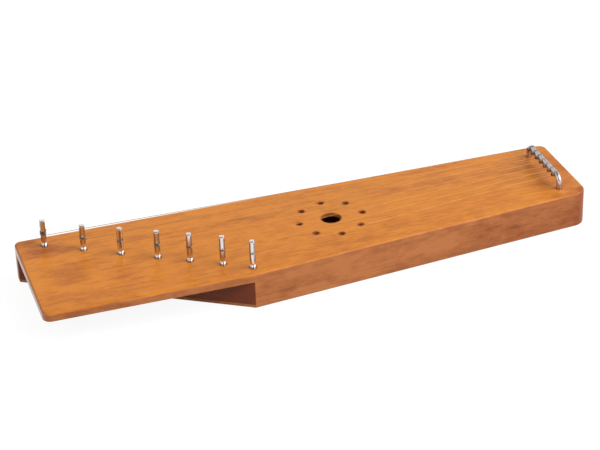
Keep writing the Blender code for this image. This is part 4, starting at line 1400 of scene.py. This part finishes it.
WALL_SPOTS = (
    ((0.0085, -0.0580, 0.020), (0.0140, 0.0300, 0.0130), -0.45),
    ((0.1015, -0.0490, 0.017), (0.0300, 0.0300, 0.0120), -0.38),
    ((0.0100, -0.0600, 0.017), (0.0600, 0.0300, 0.0400), -0.24),
    ((0.1850, -0.0450, 0.017), (0.0360, 0.0300, 0.0400), 0.28),
    ((-0.0600, -0.0650, 0.010), (0.0300, 0.0300, 0.0150), 0.12),
    ((0.2100, -0.0400, 0.006), (0.0600, 0.0300, 0.0080), 0.25),
    # the next two: painted shade on the rounded front corner of the tail, down its height and at its top
    ((0.2575, -0.0270, 0.017), (0.0140, 0.0160, 0.0800), 1.00, 0.3),
    ((0.2535, -0.0300, 0.034), (0.0060, 0.0060, 0.0060), 0.60, 0.3),
)
# painted shade: a dark spot over the left part of the oblique wall, under the overhang of the wing
BLOCK_PAINTED_SHADE = (((-0.2000, 0.0200, 0.013), (0.0900, 0.0700, 0.0600), 0.90),)
# how far each board's pattern is shifted, so that no two repeat, and two boards' colour in their streaks
SIDE_SHIFT, BLOCK_SHIFT = 0.21, 0.43
BLOCK_DARK, BARE_DARK = 0.45, 0.6


def wood_look(light, dark, *amounts):
    """The grain group's inputs for one wood: two colours, lines, streaks, clouds, pores, gloss and stain."""
    labels = ("Lines", "Streaks", "Clouds", "Pores", "Gloss", "Stain")
    return {"Light": (*light, 1), "Dark": (*dark, 1), **dict(zip(labels, amounts))}


class GUSLI_OT_finishes(bpy.types.Operator):
    """Make the wood and metal finishes"""

    bl_idname = "gusli.finishes"
    bl_label = "Finishes"

    def execute(self, context):
        c = context.scene.gusli_colours
        for make in (make_grain, make_spot, make_edges, make_brushing):
            make()
        front, *_, wall = box_lines(context.scene.gusli_body)
        front_turn, wall_turn = (-math.atan2(way[1], way[0]) for _, way in (front, wall))
        block_dark, bare_dark = Vector(c.block_wood) * BLOCK_DARK, Vector(c.bare_wood) * BARE_DARK
        top = wood_look(c.plate_light, c.plate_dark, 0.52, 0.09, 0.24, 0.12, 0.34)
        side = wood_look(c.wall_light, c.wall_dark, 0.40, 0.07, 0.50, 0.12, 0.38, 0.12)
        # the oblique wall: its colour is darkened in part as painted shade of the wing
        block = wood_look(c.block_wood, block_dark, 0.40, 0.07, 0.50, 0.12, 0.38)
        bare = wood_look(c.bare_wood, bare_dark, 0.8, 0.3, 0.2, 0.4, 0.65)
        plate_finish("gusli_wood_top", top, side, front_turn, SIDE_SHIFT, PLATE_SPOTS, WALL_SPOTS)
        wood_finish("gusli_wood_side", side, front_turn, SIDE_SHIFT, WALL_SPOTS)
        # the oblique wall's spot is painted shade under the wing
        wood_finish("gusli_wood_wall", block, wall_turn, BLOCK_SHIFT, BLOCK_PAINTED_SHADE)
        wood_finish("gusli_wood_inner", bare)
        for name, colour, tarnish, gloss, *oxide in (
                # the pins' dark colour is oxide with painted dark reflection
                ("pin_steel", c.nickel, 0.15, 0.14, c.oxide), ("bar_steel", c.steel, 0.25, 0.24),
                # the strings' colour is a painted reflection of the wood under them
                ("string_steel", c.wire, 0.20, 0.26), ("winding_steel", c.winding, 0.20, 0.24),
                ("noose_steel", c.noose, 0.20, 0.26), ("ferrule_brass", c.brass, 0.40, 0.30)):
            metal_finish("gusli_" + name, colour, tarnish, gloss, *oxide)
        return {"FINISHED"}


# each lamp: its place, the point it looks at, its width and height, and its power in watts
LAMPS = {
    "key_lamp": ((2.02, -1.30, 2.14), (0.0, 0.0, 0.03), (2.8, 2.4), 92.0),
    "fill_lamp": ((-1.45, -0.95, 1.35), (-0.1, 0.0, 0.03), (0.5, 0.7), 5.0),
}
# the camera's sensor in millimetres, and the nearest and farthest that it sees
SENSOR_WIDTH = 36.0
NEAR_CLIP, FAR_CLIP = 0.05, 50.0
# the floor: how far it goes each way, how far it lies under the back, and how bright it is where it is seen
FLOOR_REACH = 6.0
FLOOR_DROP = 0.0002
FLOOR_GLOW = 0.92
# the plan direction of the dark room behind the player, and how much it takes off the light
ROOM_WAY = (-0.30, -0.95, 0.0)
ROOM_DARK = 0.85


def add_lamp(name, place, aim, size, power):
    """A soft rectangular lamp that looks at a point."""
    lamp = bpy.data.lights.new(name, "AREA")
    lamp.shape = "RECTANGLE"
    lamp.size, lamp.size_y = size
    lamp.energy = power
    holder = bpy.data.objects.new(name, lamp)
    bpy.context.scene.collection.objects.link(holder)
    holder.location = place
    holder.rotation_mode = "QUATERNION"
    holder.rotation_quaternion = (Vector(aim) - Vector(place)).to_track_quat("-Z", "Y")


def seen_rays(tree):
    """1 for the rays that show the surroundings: straight, in metal or through glass."""
    path = put(tree, "ShaderNodeLightPath")
    seen = reckon(tree, "MAXIMUM", path["Is Camera Ray"], path["Is Glossy Ray"])
    return reckon(tree, "MAXIMUM", seen, path["Is Transmission Ray"])


class GUSLI_OT_stage(bpy.types.Operator):
    """Set the pale floor, the soft lamps and the camera"""

    bl_idname = "gusli.stage"
    bl_label = "Stage"

    def execute(self, context):
        studio = context.scene.gusli_studio
        self.make_camera(context, studio)
        self.make_floor(studio)
        self.make_world(context)
        for name, settings in LAMPS.items():
            add_lamp(name, *settings)
        context.scene.view_settings.view_transform = "Standard"
        return {"FINISHED"}

    def make_camera(self, context, studio):
        """A camera whose turn is yaw about Z, then pitch below the horizon, then roll about its own axis."""
        camera = bpy.data.cameras.new("camera")
        camera.lens = studio.lens
        camera.sensor_width = SENSOR_WIDTH
        camera.clip_start, camera.clip_end = NEAR_CLIP, FAR_CLIP
        holder = bpy.data.objects.new("camera", camera)
        context.scene.collection.objects.link(holder)
        cy, sy = math.cos(studio.camera_yaw), math.sin(studio.camera_yaw)
        cp, sp = math.cos(studio.camera_pitch), math.sin(studio.camera_pitch)
        cr, sr = math.cos(studio.camera_roll), math.sin(studio.camera_roll)
        ahead = Vector((sy * cp, cy * cp, -sp))
        right = Vector((cy, -sy, 0.0))
        up = right.cross(ahead)
        turn = Matrix((right * cr + up * sr, up * cr - right * sr, -ahead)).transposed().to_4x4()
        turn.translation = studio.camera_place
        holder.matrix_world = turn
        context.scene.camera = holder

    def make_floor(self, studio):
        """A wide level floor. Seen straight or in metal it is white with the gusli's shadow on it."""
        mesh = bpy.data.meshes.new("floor")
        corners = [(x * FLOOR_REACH, y * FLOOR_REACH, 0) for x, y in ((-1, -1), (1, -1), (1, 1), (-1, 1))]
        mesh.from_pydata(corners, [], [(0, 1, 2, 3)])
        floor = bpy.data.objects.new("floor", mesh)
        bpy.context.scene.collection.objects.link(floor)
        floor.location.z = -FLOOR_DROP
        made, tree, shader = new_finish("floor_paper")
        connect(tree, shader, {
            "Base Color": (*studio.floor, 1), "Roughness": 0.9, "Specular IOR Level": 0.1,
            "Emission Color": (1, 1, 1, 1),
            "Emission Strength": reckon(tree, "MULTIPLY", seen_rays(tree), FLOOR_GLOW)})
        mesh.materials.append(made)

    def make_world(self, context):
        """A white surround where it is seen, and a softer light where it lights.

        Seen in metal it is darker overhead and behind the player. The light that falls on the gusli grows
        with its height.
        """
        world = bpy.data.worlds.new("studio")
        world.use_nodes = True
        tree = world.node_tree
        way = put(tree, "ShaderNodeTexCoord")["Generated"]
        up = put(tree, "ShaderNodeSeparateXYZ", {0: way})["Z"]
        overhead, given = (put(tree, "ShaderNodeMapRange", {
            "Value": up, "From Min": low, "From Max": high, "To Min": first, "To Max": last,
        })["Result"] for low, high, first, last in ((0.50, 0.88, 1.0, 0.22), (0.0, 0.8, 0.12, 0.62)))
        behind = reckon_way(tree, "DOT_PRODUCT", way, ROOM_WAY)["Value"]
        room = reckon(tree, "MULTIPLY", spread(tree, behind, 0.35, 0.75), spread(tree, up, 0.20, 0.40))
        left = reckon(tree, "SUBTRACT", 1.0, reckon(tree, "MULTIPLY", room, ROOM_DARK))
        shown = reckon(tree, "MULTIPLY", overhead, left)
        connect(tree, tree.nodes["Background"].inputs, {
            "Strength": blend_value(tree, seen_rays(tree), given, shown), "Color": (1, 1, 1, 1)})
        context.scene.world = world


class GUSLI_PT_panel(bpy.types.Panel):
    """Steps and sizes of the gusli"""

    bl_idname = "GUSLI_PT_panel"
    bl_label = "Gusli"
    bl_space_type = "VIEW_3D"
    bl_region_type = "UI"
    bl_category = "Gusli"

    def draw(self, context):
        for step in STEPS:
            self.layout.operator(step.bl_idname)
        for group in GROUPS:
            settings = getattr(context.scene, group)
            part = self.layout.box()
            for name in settings.__annotations__:
                part.prop(settings, name)


GROUPS = {
    "gusli_body": GusliBody, "gusli_metal": GusliMetal,
    "gusli_colours": GusliColours, "gusli_studio": GusliStudio}
STEPS = (
    GUSLI_OT_finishes, GUSLI_OT_plate, GUSLI_OT_back, GUSLI_OT_walls, GUSLI_OT_braces, GUSLI_OT_bar,
    GUSLI_OT_pins, GUSLI_OT_windings, GUSLI_OT_strings, GUSLI_OT_balls, GUSLI_OT_stage)


def register():
    """Register the settings, the steps and the panel."""
    for name, group in GROUPS.items():
        bpy.utils.register_class(group)
        setattr(bpy.types.Scene, name, PointerProperty(type=group))
    for step in (*STEPS, GUSLI_PT_panel):
        bpy.utils.register_class(step)


def unregister():
    """Take the panel, the steps and the settings away again."""
    for step in (GUSLI_PT_panel, *reversed(STEPS)):
        bpy.utils.unregister_class(step)
    for name, group in GROUPS.items():
        delattr(bpy.types.Scene, name)
        bpy.utils.unregister_class(group)


def main():
    """Build every piece in order."""
    register()
    for step in STEPS:
        family, name = step.bl_idname.split(".")
        getattr(getattr(bpy.ops, family), name)()


if __name__ == "__main__":
    main()
